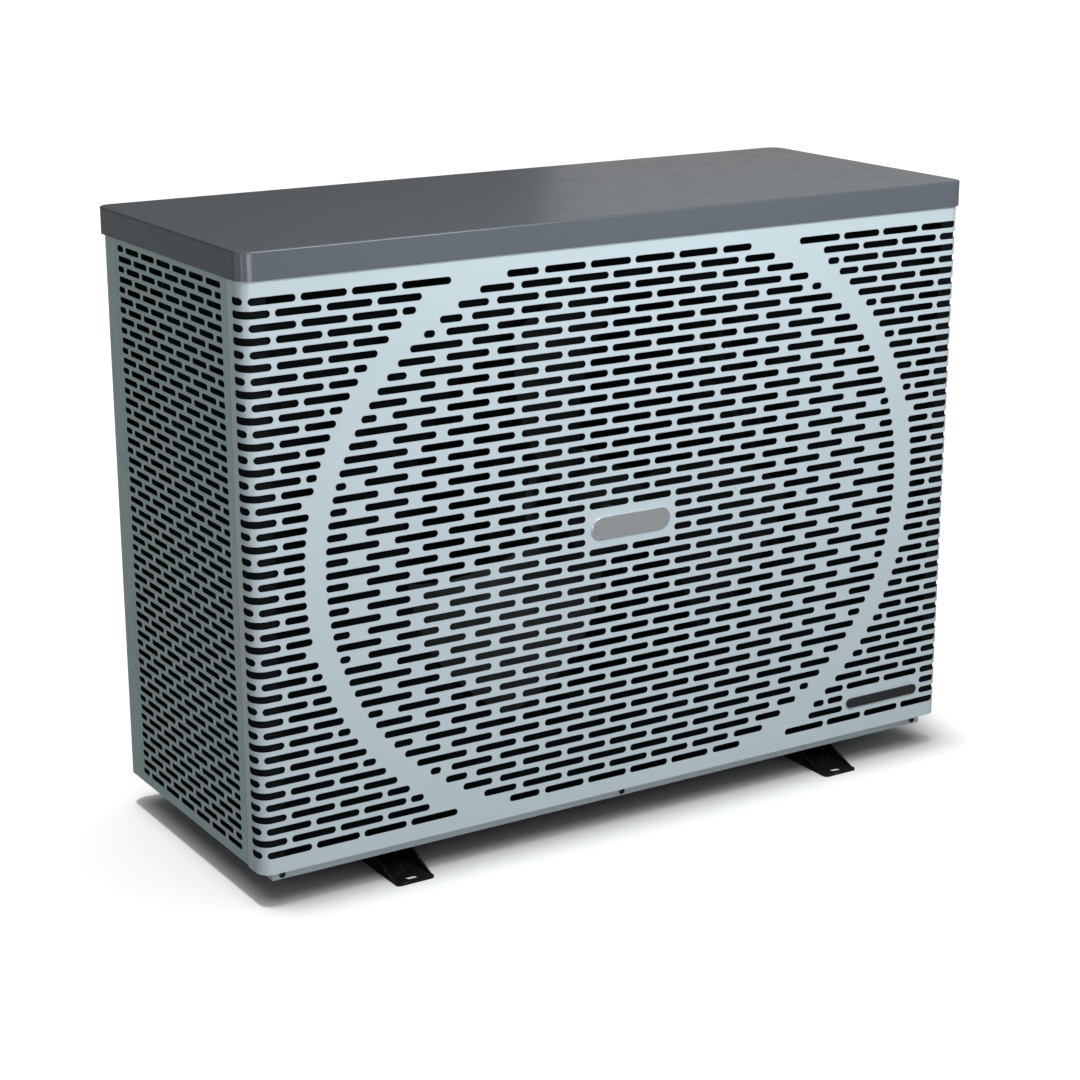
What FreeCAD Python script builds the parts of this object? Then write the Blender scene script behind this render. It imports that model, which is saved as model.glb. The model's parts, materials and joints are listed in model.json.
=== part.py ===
"""A side-discharge pool and spa heat pump, as the separate pieces that it is assembled from.

Millimetres, +Z up. The origin is on the floor, midway between the four foot bolts. The front
grille faces -Y and the water connections leave through the right side, +X.
"""
import FreeCAD, Part
import math
import os
import re
import Sketcher

V = FreeCAD.Vector
doc = FreeCAD.newDocument("heat_pump")
nodes = []

# ---------------------------------------------------------------- driving dimensions
SIZES = {
    # casing
    "body_width": 1080.0, "body_depth": 414.0, "overall_height": 814.1, "gauge": 1.2,
    "corner_radius": 17.1, "panel_bottom": 42.8, "side_bottom": 45.0, "panel_top": 798.0,
    "front_return": 38.2, "rear_return": 45.9, "seam": 0.8, "hem": 13.0,
    "cover_overhang": 3.0, "cover_rear_overhang": 7.0, "cover_skirt": 34.5,
    "cover_corner": 19.0, "cover_edge": 2.4, "post_gap": 0.6, "post_lap": 15.0,
    # slots of the front panel, measured along the sheet from its middle
    "slot_pitch": 66.8, "slot_length": 60.5, "slot_height": 9.2, "row_pitch": 15.62,
    "top_row": 755.5, "front_rows": 45, "slot_field": 558.2, "slot_spread": 22.6,
    "spread_power": 3.2, "spread_column": 10, "front_columns": 19, "dot_length": 10.0,
    # plain oval band that rings the fan
    "ring_inner_width": 442.0, "ring_inner_height": 373.5, "ring_outer_width": 469.0,
    "ring_outer_height": 406.5, "ring_power": 2.1, "badge_window": 69.5,
    # slots of the left panel
    "side_pitch": 47.83, "side_slot": 41.4, "side_slot_height": 7.8, "side_row_pitch": 13.06,
    "side_top_row": 767.7, "side_rows": 55, "side_columns": 15, "side_rear_column": 155.5,
    "side_field_front": -153.0, "side_field_rear": 154.4,
    # tray and feet
    "pan_half_width": 519.0, "pan_half_depth": 192.0, "pan_bottom": 27.4, "pan_height": 20.0,
    "pan_gauge": 2.0, "foot_spacing": 682.6, "foot_width": 54.8, "foot_gauge": 2.5,
    "foot_tip": 237.7, "foot_bolt_spacing": 447.4, "foot_slot_length": 17.0,
    "foot_slot_width": 9.5, "flange_start": 227.0, "flange_knee": 179.0, "flange_knee_height": 20.0,
    "flange_top": 166.0, "foot_lip": 12.0, "foot_corner": 6.0,
    "bolt_shank": 3.0, "bolt_head": 5.5, "bolt_head_height": 4.0, "bolt_gap": 0.3,
    "foot_bolt_row": 150.0,
    # screws
    "screw_shank": 2.0, "screw_head": 4.2, "screw_head_height": 2.2, "screw_length": 8.0,
    "screw_hole": 2.25, "screw_round": 1.3, "screw_recess": 1.1, "screw_recess_radius": 1.8,
    "lip_screw_x": 506.0, "lip_screw_z": 33.4, "screw_inset": 20.0, "screw_drop": 40.0,
    "seam_inset": 14.0, "cover_screw_x": 432.0, "cover_screw_rise": 10.0,
    # bulkhead, fan and motor
    "bulkhead_y": -165.0, "bulkhead_half_width": 520.0, "bulkhead_bottom": 49.0,
    "fan_z": 411.9, "orifice_radius": 305.0, "orifice_depth": 70.0, "bell_radius": 12.0,
    "fan_radius": 295.0, "hub_radius": 62.0, "hub_front": -150.0, "hub_depth": 70.0,
    "hub_wall": 4.0, "boss_radius": 14.0, "boss_length": 49.0, "blade_count": 3,
    "blade_gauge": 4.0, "shaft_radius": 7.0, "shaft_fit": 0.05, "shaft_in_motor": 83.2,
    "shaft_end_gap": 2.0, "motor_radius": 68.0, "motor_front": -62.0, "motor_length": 104.0,
    "motor_bevel": 6.0, "motor_cap_radius": 61.2, "motor_nose": 10.0, "motor_nose_radius": 27.2,
    "fan_nut_radius": 12.0, "fan_nut_height": 9.0,
    "rail_offset": 48.0, "rail_width": 34.0, "rail_depth": 16.0, "rail_gauge": 1.5,
    "rail_gap": 3.0, "bridge_half_height": 30.0,
    # evaporator
    "fin_front": 130.0, "fin_depth": 44.0, "fin_left": -505.0, "fin_right": 336.0,
    "fin_bottom": 66.0, "fin_top": 780.0, "fin_leg_front": -142.0, "fin_bend": 90.0,
    "end_plate": 1.5, "end_plate_lap": 4.0, "end_plate_drop": 8.0,
    "tube_radius": 4.8, "tube_pitch": 25.4, "bend_pitch": 50.8,
    "bend_count": 12, "lowest_bend": 120.0, "header_radius": 8.0, "header_x": 366.0,
    # compressor bay
    "partition_x": 336.0, "partition_rear": 126.0, "partition_gap": 2.0,
    "compressor_x": 430.0, "compressor_y": -75.0, "compressor_radius": 65.0,
    "compressor_bottom": 56.0, "compressor_top": 330.0, "can_bevel": 16.0,
    "can_cap_radius": 39.0, "compressor_foot": 96.0, "foot_tab": 15.4, "foot_plate": 4.0,
    "grommet_circle": 80.0, "grommet_radius": 14.0, "grommet_waist": 8.7, "grommet_hole": 9.1,
    "stud_radius": 4.0, "stud_rise": 12.0, "stud_nut_radius": 7.2, "stud_nut_height": 7.0,
    "washer_radius": 11.2, "washer_gauge": 2.0,
    "accumulator_x": 505.0, "accumulator_y": -5.0, "accumulator_radius": 30.0,
    "accumulator_bottom": 110.0, "accumulator_top": 300.0, "accumulator_neck": 15.0,
    "accumulator_bevel": 14.0,
    "cap_half_width": 22.0, "cap_reach": 20.0, "cap_drop": 50.0, "cap_height": 60.0,
    "valve_x": 400.0, "valve_y": -60.0, "valve_z": 415.0, "valve_radius": 14.0,
    "valve_length": 90.0, "port_pitch": 25.0, "port_radius": 9.0, "top_port_radius": 8.0,
    "port_length": 8.0, "pilot_offset": 22.0, "pilot_radius": 7.0, "pilot_length": 36.0,
    "pilot_neck": 4.0,
    "metering_radius": 9.0, "metering_length": 22.0, "actuator_radius": 17.0,
    "actuator_length": 22.0, "actuator_round": 2.0, "actuator_tip": 7.0, "actuator_cone": 4.0,
    # refrigerant pipes
    "discharge_radius": 5.0, "suction_radius": 7.0, "gas_radius": 6.0, "liquid_radius": 5.0,
    "pipe_bend": 12.0, "discharge_rise": 16.0, "suction_drop": 24.0, "gas_drop": 18.0,
    "gas_rise": 40.0, "gas_shift": 4.0, "coil_drop": 20.0, "liquid_drop": 30.0,
    "feed_offset": 16.0, "feed_rise": 30.0,
    # heat exchanger
    "exchanger_x": 440.0, "exchanger_y": 112.0, "exchanger_radius": 66.0,
    "exchanger_bottom": 95.0, "exchanger_top": 610.0, "exchanger_wall": 6.0,
    "inlet_z": 150.0, "outlet_z": 520.0, "port_wall": 4.0, "port_reach": 6.0,
    "stand_wall": 6.0, "stand_rim": 16.0, "stand_ledge": 12.0, "gate_reach": 76.0,
    "gate_lap": 20.0, "coil_radius": 43.6, "coil_tube": 8.0, "coil_pitch": 24.0,
    "coil_low": 60.0, "coil_high": 50.0,
    "switch_x": 503.0, "switch_neck": 8.0, "switch_radius": 15.0, "switch_length": 40.0,
    "switch_neck_length": 12.0, "switch_round": 2.0,
    # water unions
    "union_bore": 22.0, "union_tube": 30.0, "union_flange": 41.0, "union_thread": 37.0,
    "union_face": 566.0, "nut_radius": 46.0, "nut_start": 549.0, "nut_end": 584.0,
    "nut_wall": 5.0, "nut_bevel": 1.5, "nut_chamfer": 3.0, "nut_taper": 4.0, "nut_ribs": 8,
    "rib_height": 2.5, "rib_root": 5.0, "rib_half_width": 3.0, "rib_flare": 1.0,
    "thread_gap": 0.4, "thread_ridges": 5, "thread_pitch": 4.0, "thread_depth": 1.2,
    "thread_flank": 1.0, "thread_crest": 0.8, "thread_length": 24.0, "thread_taper": 4.0,
    "union_flange_gauge": 6.0, "union_gap": 1.0, "socket_radius": 25.1, "socket_depth": 31.0,
    "tail_end": 612.0, "tail_tube": 30.5, "tail_gap": 0.6, "tail_flange": 5.0,
    "tail_taper": 4.0, "panel_hole": 43.0,
    "ring_section": 1.75, "ring_centre": 29.0, "ring_gap": 0.2, "ring_groove": 2.6,
    # electrical box
    "box_left": 345.0, "box_right": 520.0, "box_front": -158.0, "box_rear": 20.0,
    "box_bottom": 470.0, "box_top": 785.0, "lid_gap": 0.3, "lid_lap": 2.0,
    "pillar_radius": 4.0, "pillar_inset": 22.0, "pillar_low": 100.0, "pillar_high": 26.0,
    "board_gap": 8.0, "board_gauge": 1.6, "board_inset": 14.0, "board_low": 90.0,
    "board_high": 16.0,
    "capacitor_count": 3, "capacitor_radius": 17.0, "capacitor_length": 46.0,
    "capacitor_pitch": 42.0, "capacitor_inset": 50.0, "capacitor_drop": 60.0,
    "choke_inset": 26.0, "choke_width": 54.0, "choke_depth": 38.0, "choke_drop": 52.0,
    "choke_height": 58.0, "terminal_inset": 30.0, "terminal_depth": 18.0,
    "terminal_height": 32.0, "terminal_ribs": 7, "terminal_rib": 2.0,
    "terminal_rib_depth": 26.0,
    # controller, gauge and fittings on the right side
    "controller_y": -70.0, "controller_z": 668.0, "controller_width": 112.0,
    "controller_height": 140.0, "controller_back": 526.0, "controller_front": 552.0,
    "controller_rim": 6.0, "controller_wall": 2.0, "controller_floor": 6.0,
    "screen_set": 3.0, "screen_gauge": 2.0, "screen_gap": 0.3, "screen_side": 3.0,
    "screen_end": 12.0, "hinge_radius": 2.0, "hinge_fit": 0.08, "hinge_drop": 3.0,
    "ear_root": 3.0, "ear_wall": 4.0, "ear_width": 6.0, "ear_drop": 7.0, "ear_rise": 6.0,
    "flap_gauge": 2.5, "flap_front": 561.0, "flap_gap": 0.6, "flap_lip": 2.5,
    "flap_lip_gap": 0.5, "flap_lap": 1.0, "knuckle_wall": 1.6, "web_height": 4.0,
    "gauge_y": 112.0, "gauge_z": 690.0, "gauge_radius": 27.0, "gauge_bezel": 31.0,
    "gauge_seat": 18.0, "gauge_front": 22.5, "gauge_chamfer": 2.0, "gauge_rim": 2.0,
    "dial_depth": 9.0, "pivot_radius": 1.2, "pivot_fit": 0.06, "pivot_tip": 17.0,
    "needle_length": 17.0, "needle_tail": 7.0, "needle_half_width": 0.7, "needle_gauge": 0.8,
    "needle_hub_radius": 3.4, "needle_hub_length": 2.0, "needle_set": 4.0,
    "lens_gauge": 1.6, "lens_gap": 0.3, "lens_set": 1.0,
    "gland_y": -120.0, "gland_z": 440.0, "gland_bore": 6.5, "gland_neck": 10.0,
    "gland_seat": 14.0, "gland_flange": 16.0, "gland_flange_gauge": 5.7, "gland_waist": 13.0,
    "gland_waist_length": 3.0, "gland_nut": 15.5, "gland_nut_length": 11.0,
    "gland_mouth": 9.5, "gland_dome": 5.0,
    "service_y": -120.0, "service_z": 200.0, "service_neck": 8.0, "service_seat": 16.0,
    "service_flange": 13.0, "service_flange_gauge": 3.7, "service_stem": 5.5,
    "service_stem_length": 14.0, "service_cap_radius": 9.0, "service_cap_length": 17.0,
    "service_cap_wall": 3.5, "service_cap_bevel": 2.0, "service_cap_gap": 1.0,
    "drain_x": -290.0, "drain_y": 60.0, "drain_radius": 9.0, "drain_wall": 2.0,
    "drain_tail": 15.4, "drain_flange": 5.0, "drain_flange_gauge": 1.7, "drain_neck": 3.9,
    "louvre_rows": 4, "louvre_pitch": 62.0, "louvre_length": 55.8, "louvre_row_pitch": 20.3,
    "louvre_half_height": 4.0,
    # rear window, as distances inside the finned block's edges, and its finger guard
    "window_left": 65.0, "window_right": 30.0, "window_low": 14.0, "window_high": 20.0,
    "guard_gap": 0.4, "guard_bar": 3.0, "guard_rim": 9.0, "guard_mesh_width": 30.0,
    "guard_mesh_height": 60.0,
    # heat sink on the partition
    "sink_width": 110.0, "sink_height": 150.0, "sink_base": 6.0, "sink_depth": 38.0,
    "sink_fin": 3.0, "sink_fins": 9, "sink_y": -130.0, "sink_z": 600.0,
    # front badges
    "badge_length": 122.0, "badge_height": 30.0, "badge_gauge": 2.6, "badge_round": 1.0,
    "plate_centre": 434.0, "plate_z": 89.0, "plate_length": 127.0, "plate_height": 14.0,
    "plate_margin": 6.2,
}

# fan blade sections from root to tip: share of the fan's radius, chord, and the pitch and
# sweep in degrees
BLADE_SECTIONS = ((0.203, 88.0, 38.0, 0.0), (0.45, 150.0, 30.0, 6.0),
                  (0.72, 205.0, 23.0, 16.0), (1.05, 250.0, 17.0, 30.0))

sheet = doc.addObject("Spreadsheet::Sheet", "Sizes")
for row, (alias, number) in enumerate(SIZES.items(), start=1):
    sheet.set(f"A{row}", alias)
    sheet.set(f"B{row}", str(number))
    sheet.setAlias(f"B{row}", alias)
doc.recompute()


# ---------------------------------------------------------------- helpers
def formula(text):
    """The text with every size name turned into a reference to the sheet's cell."""
    return re.sub(r"\b[a-z]\w*\b(?!\()", lambda word: "Sizes." + word.group(0), text)


def value(text):
    """What a formula comes to with the sheet's present numbers."""
    return float(sheet.evalExpression(formula(text)))


def bind(item, **formulas):
    """Tie properties to the sheet; a double underscore stands for a dot."""
    for name, text in formulas.items():
        item.setExpression(name.replace("__", "."), formula(text))


# turns that lay a piece made upright along Z onto another axis
TURNS = {
    "Z": FreeCAD.Rotation(),
    "X": FreeCAD.Rotation(V(0, 1, 0), 90),
    "Y": FreeCAD.Rotation(V(1, 0, 0), -90),
    "-Y": FreeCAD.Rotation(V(1, 0, 0), 90),
    "-Z": FreeCAD.Rotation(V(1, 0, 0), 180),
}


def seat(item, place, along="Z"):
    """Put a piece at a place given by three formulas, with its own Z along an axis."""
    item.Placement = FreeCAD.Placement(V(), TURNS[along])
    for axis, text in zip("xyz", place):
        item.setExpression("Placement.Base." + axis, formula(text))


def piece(item, label):
    """Name a finished piece as a node of its own."""
    item.Label = label
    nodes.append(item)
    return item


def block(name, low, high):
    """A box between two corners."""
    item = doc.addObject("Part::Box", name)
    spans = [f"({far}) - ({near})" for near, far in zip(low, high)]
    bind(item, Length=spans[0], Width=spans[1], Height=spans[2])
    seat(item, low)
    return item


def rod(name, start, radius, length, along="Z"):
    """A cylinder from a point along an axis."""
    item = doc.addObject("Part::Cylinder", name)
    bind(item, Radius=radius, Height=length)
    seat(item, start, along)
    return item


def fused(name, items):
    item = doc.addObject("Part::MultiFuse", name)
    item.Shapes = items
    item.Refine = True
    return item


def group(name, items):
    """Loose solids that belong to one node."""
    item = doc.addObject("Part::Compound", name)
    item.Links = items
    return item


def cut(name, base, tools):
    item = doc.addObject("Part::Cut", name)
    item.Base = base
    item.Tool = tools[0] if len(tools) == 1 else fused(name + "_tools", tools)
    return item


def made(name, shape, place=("0", "0", "0"), along="Z"):
    """A piece whose shape neither sketches nor primitives can hold."""
    item = doc.addObject("Part::Feature", name)
    item.Shape = shape
    seat(item, place, along)
    return item


def copies(name, shape, spots):
    """One loose solid at each spot."""
    return made(name, Part.makeCompound([shape.translated(V(*spot)) for spot in spots]))


def origin_plane(body, role):
    return next(item for item in body.Origin.OriginFeatures if item.Role == role)


def new_sketch(body, name, role):
    sketch = body.newObject("Sketcher::SketchObject", name)
    sketch.AttachmentSupport = (origin_plane(body, role), [""])
    sketch.MapMode = "FlatFace"
    return sketch


def hold_point(sketch, geometry, end, text, other):
    """Fix one point of a sketch by two formulas, or on an axis where a formula is zero."""
    for kind, words, axis in (("DistanceX", text, -2), ("DistanceY", other, -1)):
        number = value(words)
        if abs(number) < 1e-9:
            sketch.addConstraint(Sketcher.Constraint("PointOnObject", geometry, end, axis))
            continue
        index = sketch.addConstraint(Sketcher.Constraint(kind, -1, 1, geometry, end, number))
        sketch.setExpression(f"Constraints[{index}]", formula(words))


def polygon(sketch, points):
    """A closed outline through points given as pairs of formulas."""
    spots = [V(value(across), value(up), 0) for across, up in points]
    first = sketch.GeometryCount
    count = len(points)
    for index, spot in enumerate(spots):
        sketch.addGeometry(Part.LineSegment(spot, spots[(index + 1) % count]))
    for index in range(count):
        after = first + (index + 1) % count
        sketch.addConstraint(Sketcher.Constraint("Coincident", first + index, 2, after, 1))
    for index, (across, up) in enumerate(points):
        hold_point(sketch, first + index, 1, across, up)
    return sketch


def circle(sketch, across, up, radius):
    """A circle of a sketch, its centre and radius held by formulas."""
    centre = V(value(across), value(up), 0)
    index = sketch.addGeometry(Part.Circle(centre, V(0, 0, 1), value(radius)))
    hold_point(sketch, index, 3, across, up)
    size = sketch.addConstraint(Sketcher.Constraint("Radius", index, value(radius)))
    sketch.setExpression(f"Constraints[{size}]", formula(radius))
    return sketch


def add_pad(body, name, sketch, length, both_ways=False, backwards=False):
    pad = body.newObject("PartDesign::Pad", name)
    pad.Profile = sketch
    pad.Midplane = both_ways
    pad.Reversed = backwards
    bind(pad, Length=length)
    return pad


def add_pocket(body, name, sketch, length=None, backwards=False):
    """A pocket of a stated depth, or one right through both ways."""
    pocket = body.newObject("PartDesign::Pocket", name)
    pocket.Profile = sketch
    pocket.Reversed = backwards
    if length is None:
        pocket.Type = "ThroughAll"
        pocket.Midplane = True
    else:
        bind(pocket, Length=length)
    return pocket


def add_fillet(body, name, base, radius, chosen):
    """Round the edges that a test picks out."""
    doc.recompute()
    names = [f"Edge{i}" for i, edge in enumerate(base.Shape.Edges, start=1) if chosen(edge)]
    fillet = body.newObject("PartDesign::Fillet", name)
    fillet.Base = (base, names)
    bind(fillet, Radius=radius)
    return fillet


def round_edge_at(height):
    """Test for the circular edges at a height of a turned piece."""
    def chosen(edge):
        level = abs(edge.CenterOfMass.z - value(height)) < 0.01
        return level and edge.Curve.TypeId == "Part::GeomCircle" and edge.Curve.Radius > 1
    return chosen


def turned(label, profile, place, along="Z", rounds=()):
    """A round piece: half its section turned about its own axis."""
    body = doc.addObject("PartDesign::Body", label)
    sketch = polygon(new_sketch(body, label + "_profile", "XZ_Plane"), profile)
    turn = body.newObject("PartDesign::Revolution", label + "_turn")
    turn.Profile = sketch
    turn.ReferenceAxis = (sketch, ["V_Axis"])
    turn.Angle = 360
    last = turn
    for index, (height, radius) in enumerate(rounds):
        last = add_fillet(body, f"{label}_round{index}", last, radius, round_edge_at(height))
    seat(body, place, along)
    return body


def tube_path(points, bend):
    """Straight runs through the points, joined by tangent arcs of one radius."""
    spots = [V(*(value(text) for text in point)) for point in points]
    edges = []
    start = spots[0]
    for before, corner, after in zip(spots, spots[1:], spots[2:]):
        back = (before - corner).normalize()
        ahead = (after - corner).normalize()
        half = (math.pi - back.getAngle(ahead)) / 2
        reach = bend * math.tan(half)
        middle = (back + ahead).normalize()
        centre = corner + middle * (bend / math.cos(half))
        first = corner + back * reach
        last = corner + ahead * reach
        edges.append(Part.LineSegment(start, first).toShape())
        edges.append(Part.Arc(first, centre - middle * bend, last).toShape())
        start = last
    edges.append(Part.LineSegment(start, spots[-1]).toShape())
    return Part.Wire(edges)


def pipe(label, points, radius, bend):
    """A bent copper pipe."""
    path = tube_path(points, bend)
    start = path.Edges[0]
    ring = Part.Circle(start.valueAt(start.FirstParameter),
                       start.tangentAt(start.FirstParameter), value(radius))
    section = Part.Wire(ring.toShape())
    return made(label, path.makePipeShell([section], True, False))


def slot_wire(centre, half_length, half_height, along, up=V(0, 0, 1)):
    """A round-ended slot about a centre, lying along a direction."""
    flat = max(half_length - half_height, 0.01)
    left, right = centre - along * flat, centre + along * flat
    rise = up * half_height
    nose = along * half_height
    edges = [Part.makeLine(left + rise, right + rise),
             Part.Arc(right + rise, right + nose, right - rise).toShape(),
             Part.makeLine(right - rise, left - rise),
             Part.Arc(left - rise, left - nose, left + rise).toShape()]
    return Part.Wire(edges)


def prism(wire, direction):
    return Part.Face(wire).extrude(direction)


def pierced(outline, holes):
    """A flat face with holes, each hole's wire turned against the outline's."""
    normal = Part.Face(outline).normalAt(0, 0)
    for hole in holes:
        if Part.Face(hole).normalAt(0, 0).dot(normal) > 0:
            hole.reverse()
    return Part.Face([outline] + holes)


def hexagon(across_corners, height):
    """An upright hexagonal prism standing on the origin."""
    corners = [V(across_corners * math.cos(k * math.pi / 3),
                 across_corners * math.sin(k * math.pi / 3), 0) for k in range(6)]
    return prism(Part.makePolygon(corners + corners[:1]), V(0, 0, height))


def both_sides(text):
    return (text, f"-({text})")


# ---------------------------------------------------------------- folded and slotted panels
def corner_strip(side, face_y, inward, depth, bottom, top, inset=0):
    """The vertical bend of a wrap-round sheet, with the part that returns along the side.

    An inset moves the sheet in from the casing's outer faces.
    """
    centre, gauge = value("corner_radius"), value("gauge")
    flat = value("body_width / 2") - centre
    diagonal = math.sqrt(0.5)

    def spot(across, back):
        return V(side * across, face_y + inward * back, bottom)

    outer = centre - inset
    inner = outer - gauge
    outer_middle = spot(flat + outer * diagonal, centre - outer * diagonal)
    inner_middle = spot(flat + inner * diagonal, centre - inner * diagonal)
    edges = [Part.makeLine(spot(flat, inset), spot(flat, inset + gauge)),
             Part.Arc(spot(flat, inset + gauge), inner_middle, spot(flat + inner, centre)).toShape(),
             Part.makeLine(spot(flat + inner, centre), spot(flat + inner, depth)),
             Part.makeLine(spot(flat + inner, depth), spot(flat + outer, depth)),
             Part.makeLine(spot(flat + outer, depth), spot(flat + outer, centre)),
             Part.Arc(spot(flat + outer, centre), outer_middle, spot(flat, inset)).toShape()]
    return prism(Part.Wire(edges), V(0, 0, top - bottom))


def folded_panel(face_y, inward, depth, bottom, holes):
    """A flat face with holes, bent back at both ends, and hemmed inwards along the bottom."""
    gauge, top = value("gauge"), value("panel_top")
    flat = value("body_width / 2 - corner_radius")
    outline = Part.makePolygon([V(-flat, face_y, bottom), V(flat, face_y, bottom),
                                V(flat, face_y, top), V(-flat, face_y, top),
                                V(-flat, face_y, bottom)])
    plate = pierced(outline, holes).extrude(V(0, inward * gauge, 0))
    corners = [corner_strip(side, face_y, inward, depth, bottom, top) for side in (-1, 1)]
    reach = value("hem")
    half = value("pan_half_width")
    start = face_y + inward * gauge
    hem = Part.makeBox(2 * half, reach, gauge, V(-half, min(start, start + inward * reach), bottom))
    return plate.fuse(corners + [hem])


def ring_reach(level, half_width, half_height):
    """Half the width of one edge of the plain oval band at a height."""
    inside = 1 - abs((level - value("fan_z")) / half_height) ** value("ring_power")
    return half_width * max(inside, 0) ** (1 / value("ring_power"))


def slots_inside_ring(columns, limit):
    """Slots spread a little further apart towards the band; the last one ends at it."""
    length, dot = value("slot_length"), value("dot_length")
    slots = []
    for column in columns:
        share = column / value("spread_column")
        spread = value("slot_spread") * share ** value("spread_power")
        start = column * value("slot_pitch / 2") + spread - length / 2
        if start > limit - dot:
            break
        slots.append([start, min(start + length, limit)])
    if slots and start > limit - dot:
        slots[-1][1] = limit
    return slots


def slots_outside_ring(columns, limit):
    """Evenly spaced slots from the band to the end of the slotted field."""
    length, dot, field = value("slot_length"), value("dot_length"), value("slot_field")
    slots = []
    for column in columns:
        start = column * value("slot_pitch / 2") - length / 2
        end = min(start + length, field)
        if end < limit + dot or start > field:
            continue
        slots.append([max(start, limit), end])
    if slots and slots[0][0] - limit < dot:
        slots[0][0] = limit
    return slots


def front_row(row):
    """Height of a row and the slots on its right half, along the sheet from the middle."""
    level = value("top_row") - row * value("row_pitch")
    inner = ring_reach(level, value("ring_inner_width"), value("ring_inner_height"))
    outer = ring_reach(level, value("ring_outer_width"), value("ring_outer_height"))
    columns = range(1 - row % 2, int(value("front_columns")), 2)
    slots = slots_inside_ring(columns, inner) + slots_outside_ring(columns, outer)
    middle = value("front_rows") // 2
    if abs(row - middle) <= 1:
        clear = value("badge_window")
        slots = [[max(start, clear), end] for start, end in slots if end > clear]
    return level, slots


def clear_of_plate(level, start, end):
    """What is left of a slot on the right half beside the model plate's blank window."""
    if abs(level - value("plate_z")) > value("row_pitch"):
        return [(start, end)]
    low = value("plate_centre - plate_length / 2 - plate_margin")
    high = value("plate_centre + plate_length / 2 + plate_margin")
    parts = [(start, min(end, low)), (max(start, high), end)]
    return [(near, far) for near, far in parts if far - near > value("dot_length")]


def bend_tools(level, start, end, side):
    """Solids that cut one slot where it runs onto or round the vertical bend."""
    radius, half = value("corner_radius"), value("slot_height / 2")
    flat = value("body_width / 2") - radius
    face = value("-body_depth / 2")
    arc = radius * math.pi / 2
    deep = face + radius
    shapes = []
    if start < flat:
        far = value("body_width / 2") + radius
        if end < flat + arc / 2:
            far = flat + radius * math.sin((end - flat) / radius)
        centre = V(side * (start + far) / 2, face - radius, level)
        wire = slot_wire(centre, (far - start) / 2, half, V(1, 0, 0))
        shapes.append(prism(wire, V(0, 2 * radius, 0)))
    if end > flat + arc:
        back = deep + end - flat - arc
        front = face - radius
        if start > flat:
            front = deep - radius * math.cos((start - flat) / radius)
        centre = V(side * (flat + radius / 2), (front + back) / 2, level)
        wire = slot_wire(centre, (back - front) / 2, half, V(0, 1, 0))
        shapes.append(prism(wire, V(side * radius, 0, 0)))
    return shapes


def front_panel():
    face = value("-body_depth / 2")
    flat = value("body_width / 2 - corner_radius")
    half = value("slot_height / 2")
    holes, tools = [], []
    for row in range(int(value("front_rows"))):
        level, slots = front_row(row)
        for start, end in slots:
            if start < 0:
                holes.append(slot_wire(V(0, face, level), end, half, V(1, 0, 0)))
                continue
            spans = [(-1, start, end)]
            spans += [(1, near, far) for near, far in clear_of_plate(level, start, end)]
            for side, near, far in spans:
                if far > flat:
                    tools += bend_tools(level, near, far, side)
                    continue
                centre = V(side * (near + far) / 2, face, level)
                holes.append(slot_wire(centre, (far - near) / 2, half, V(1, 0, 0)))
    sheet_metal = folded_panel(face, 1, value("front_return"), value("panel_bottom"), holes)
    piece(made("front_panel", sheet_metal.cut(Part.makeCompound(tools))), "front_panel")


def corner_posts():
    """The black angles behind the grille's two front corners, standing on its hem."""
    face, gauge = value("-body_depth / 2"), value("gauge")
    inset = value("gauge + post_gap")
    bottom, top = value("panel_bottom + gauge"), value("panel_top - post_gap")
    lap = value("post_lap")
    flat = value("body_width / 2 - corner_radius")
    posts = []
    for side in (-1, 1):
        bend = corner_strip(side, face, 1, value("front_return"), bottom, top, inset)
        corner = V(min(side * flat, side * (flat - lap)), face + inset, bottom)
        posts.append(bend.fuse(Part.makeBox(lap, gauge, top - bottom, corner)).removeSplitter())
    piece(made("corner_posts", Part.makeCompound(posts)), "corner_posts")


def side_outline(across):
    """The outline of a side panel, between the front and rear panels' seams."""
    front = value("front_return - body_depth / 2 + seam")
    rear = value("body_depth / 2 - rear_return - seam")
    low, top = value("side_bottom"), value("panel_top")
    return Part.makePolygon([V(across, front, low), V(across, rear, low), V(across, rear, top),
                             V(across, front, top), V(across, front, low)])


def side_panel(name, side, holes):
    """A flat side panel with its holes, and a hem along the bottom."""
    gauge = value("gauge")
    across = side * value("body_width / 2")
    plate = pierced(side_outline(across), holes).extrude(V(-side * gauge, 0, 0))
    front = value("front_return - body_depth / 2 + seam")
    length = value("body_depth - front_return - rear_return - seam * 2")
    reach = value("body_width / 2 - gauge - pan_half_width - seam")
    near = across - side * gauge
    hem = Part.makeBox(reach, length, gauge,
                       V(min(near, near - side * reach), front, value("side_bottom")))
    piece(made(name, plate.fuse(hem)), name)


def left_panel():
    """Rows of slots, alternate rows half a pitch apart, all clipped to one field."""
    across = value("-body_width / 2")
    near, far = value("side_field_front"), value("side_field_rear")
    length, pitch = value("side_slot"), value("side_pitch")
    holes = []
    for row in range(int(value("side_rows"))):
        level = value("side_top_row") - row * value("side_row_pitch")
        for column in range(row % 2, int(value("side_columns")), 2):
            centre = value("side_rear_column") - column * pitch / 2
            start = max(centre - length / 2, near)
            end = min(centre + length / 2, far)
            if end - start > value("dot_length"):
                middle = V(across, (start + end) / 2, level)
                half = value("side_slot_height / 2")
                holes.append(slot_wire(middle, (end - start) / 2, half, V(0, 1, 0)))
    side_panel("left_panel", -1, holes)


def round_hole(centre, normal, radius):
    return Part.Wire(Part.Circle(centre, normal, radius).toShape())


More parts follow.
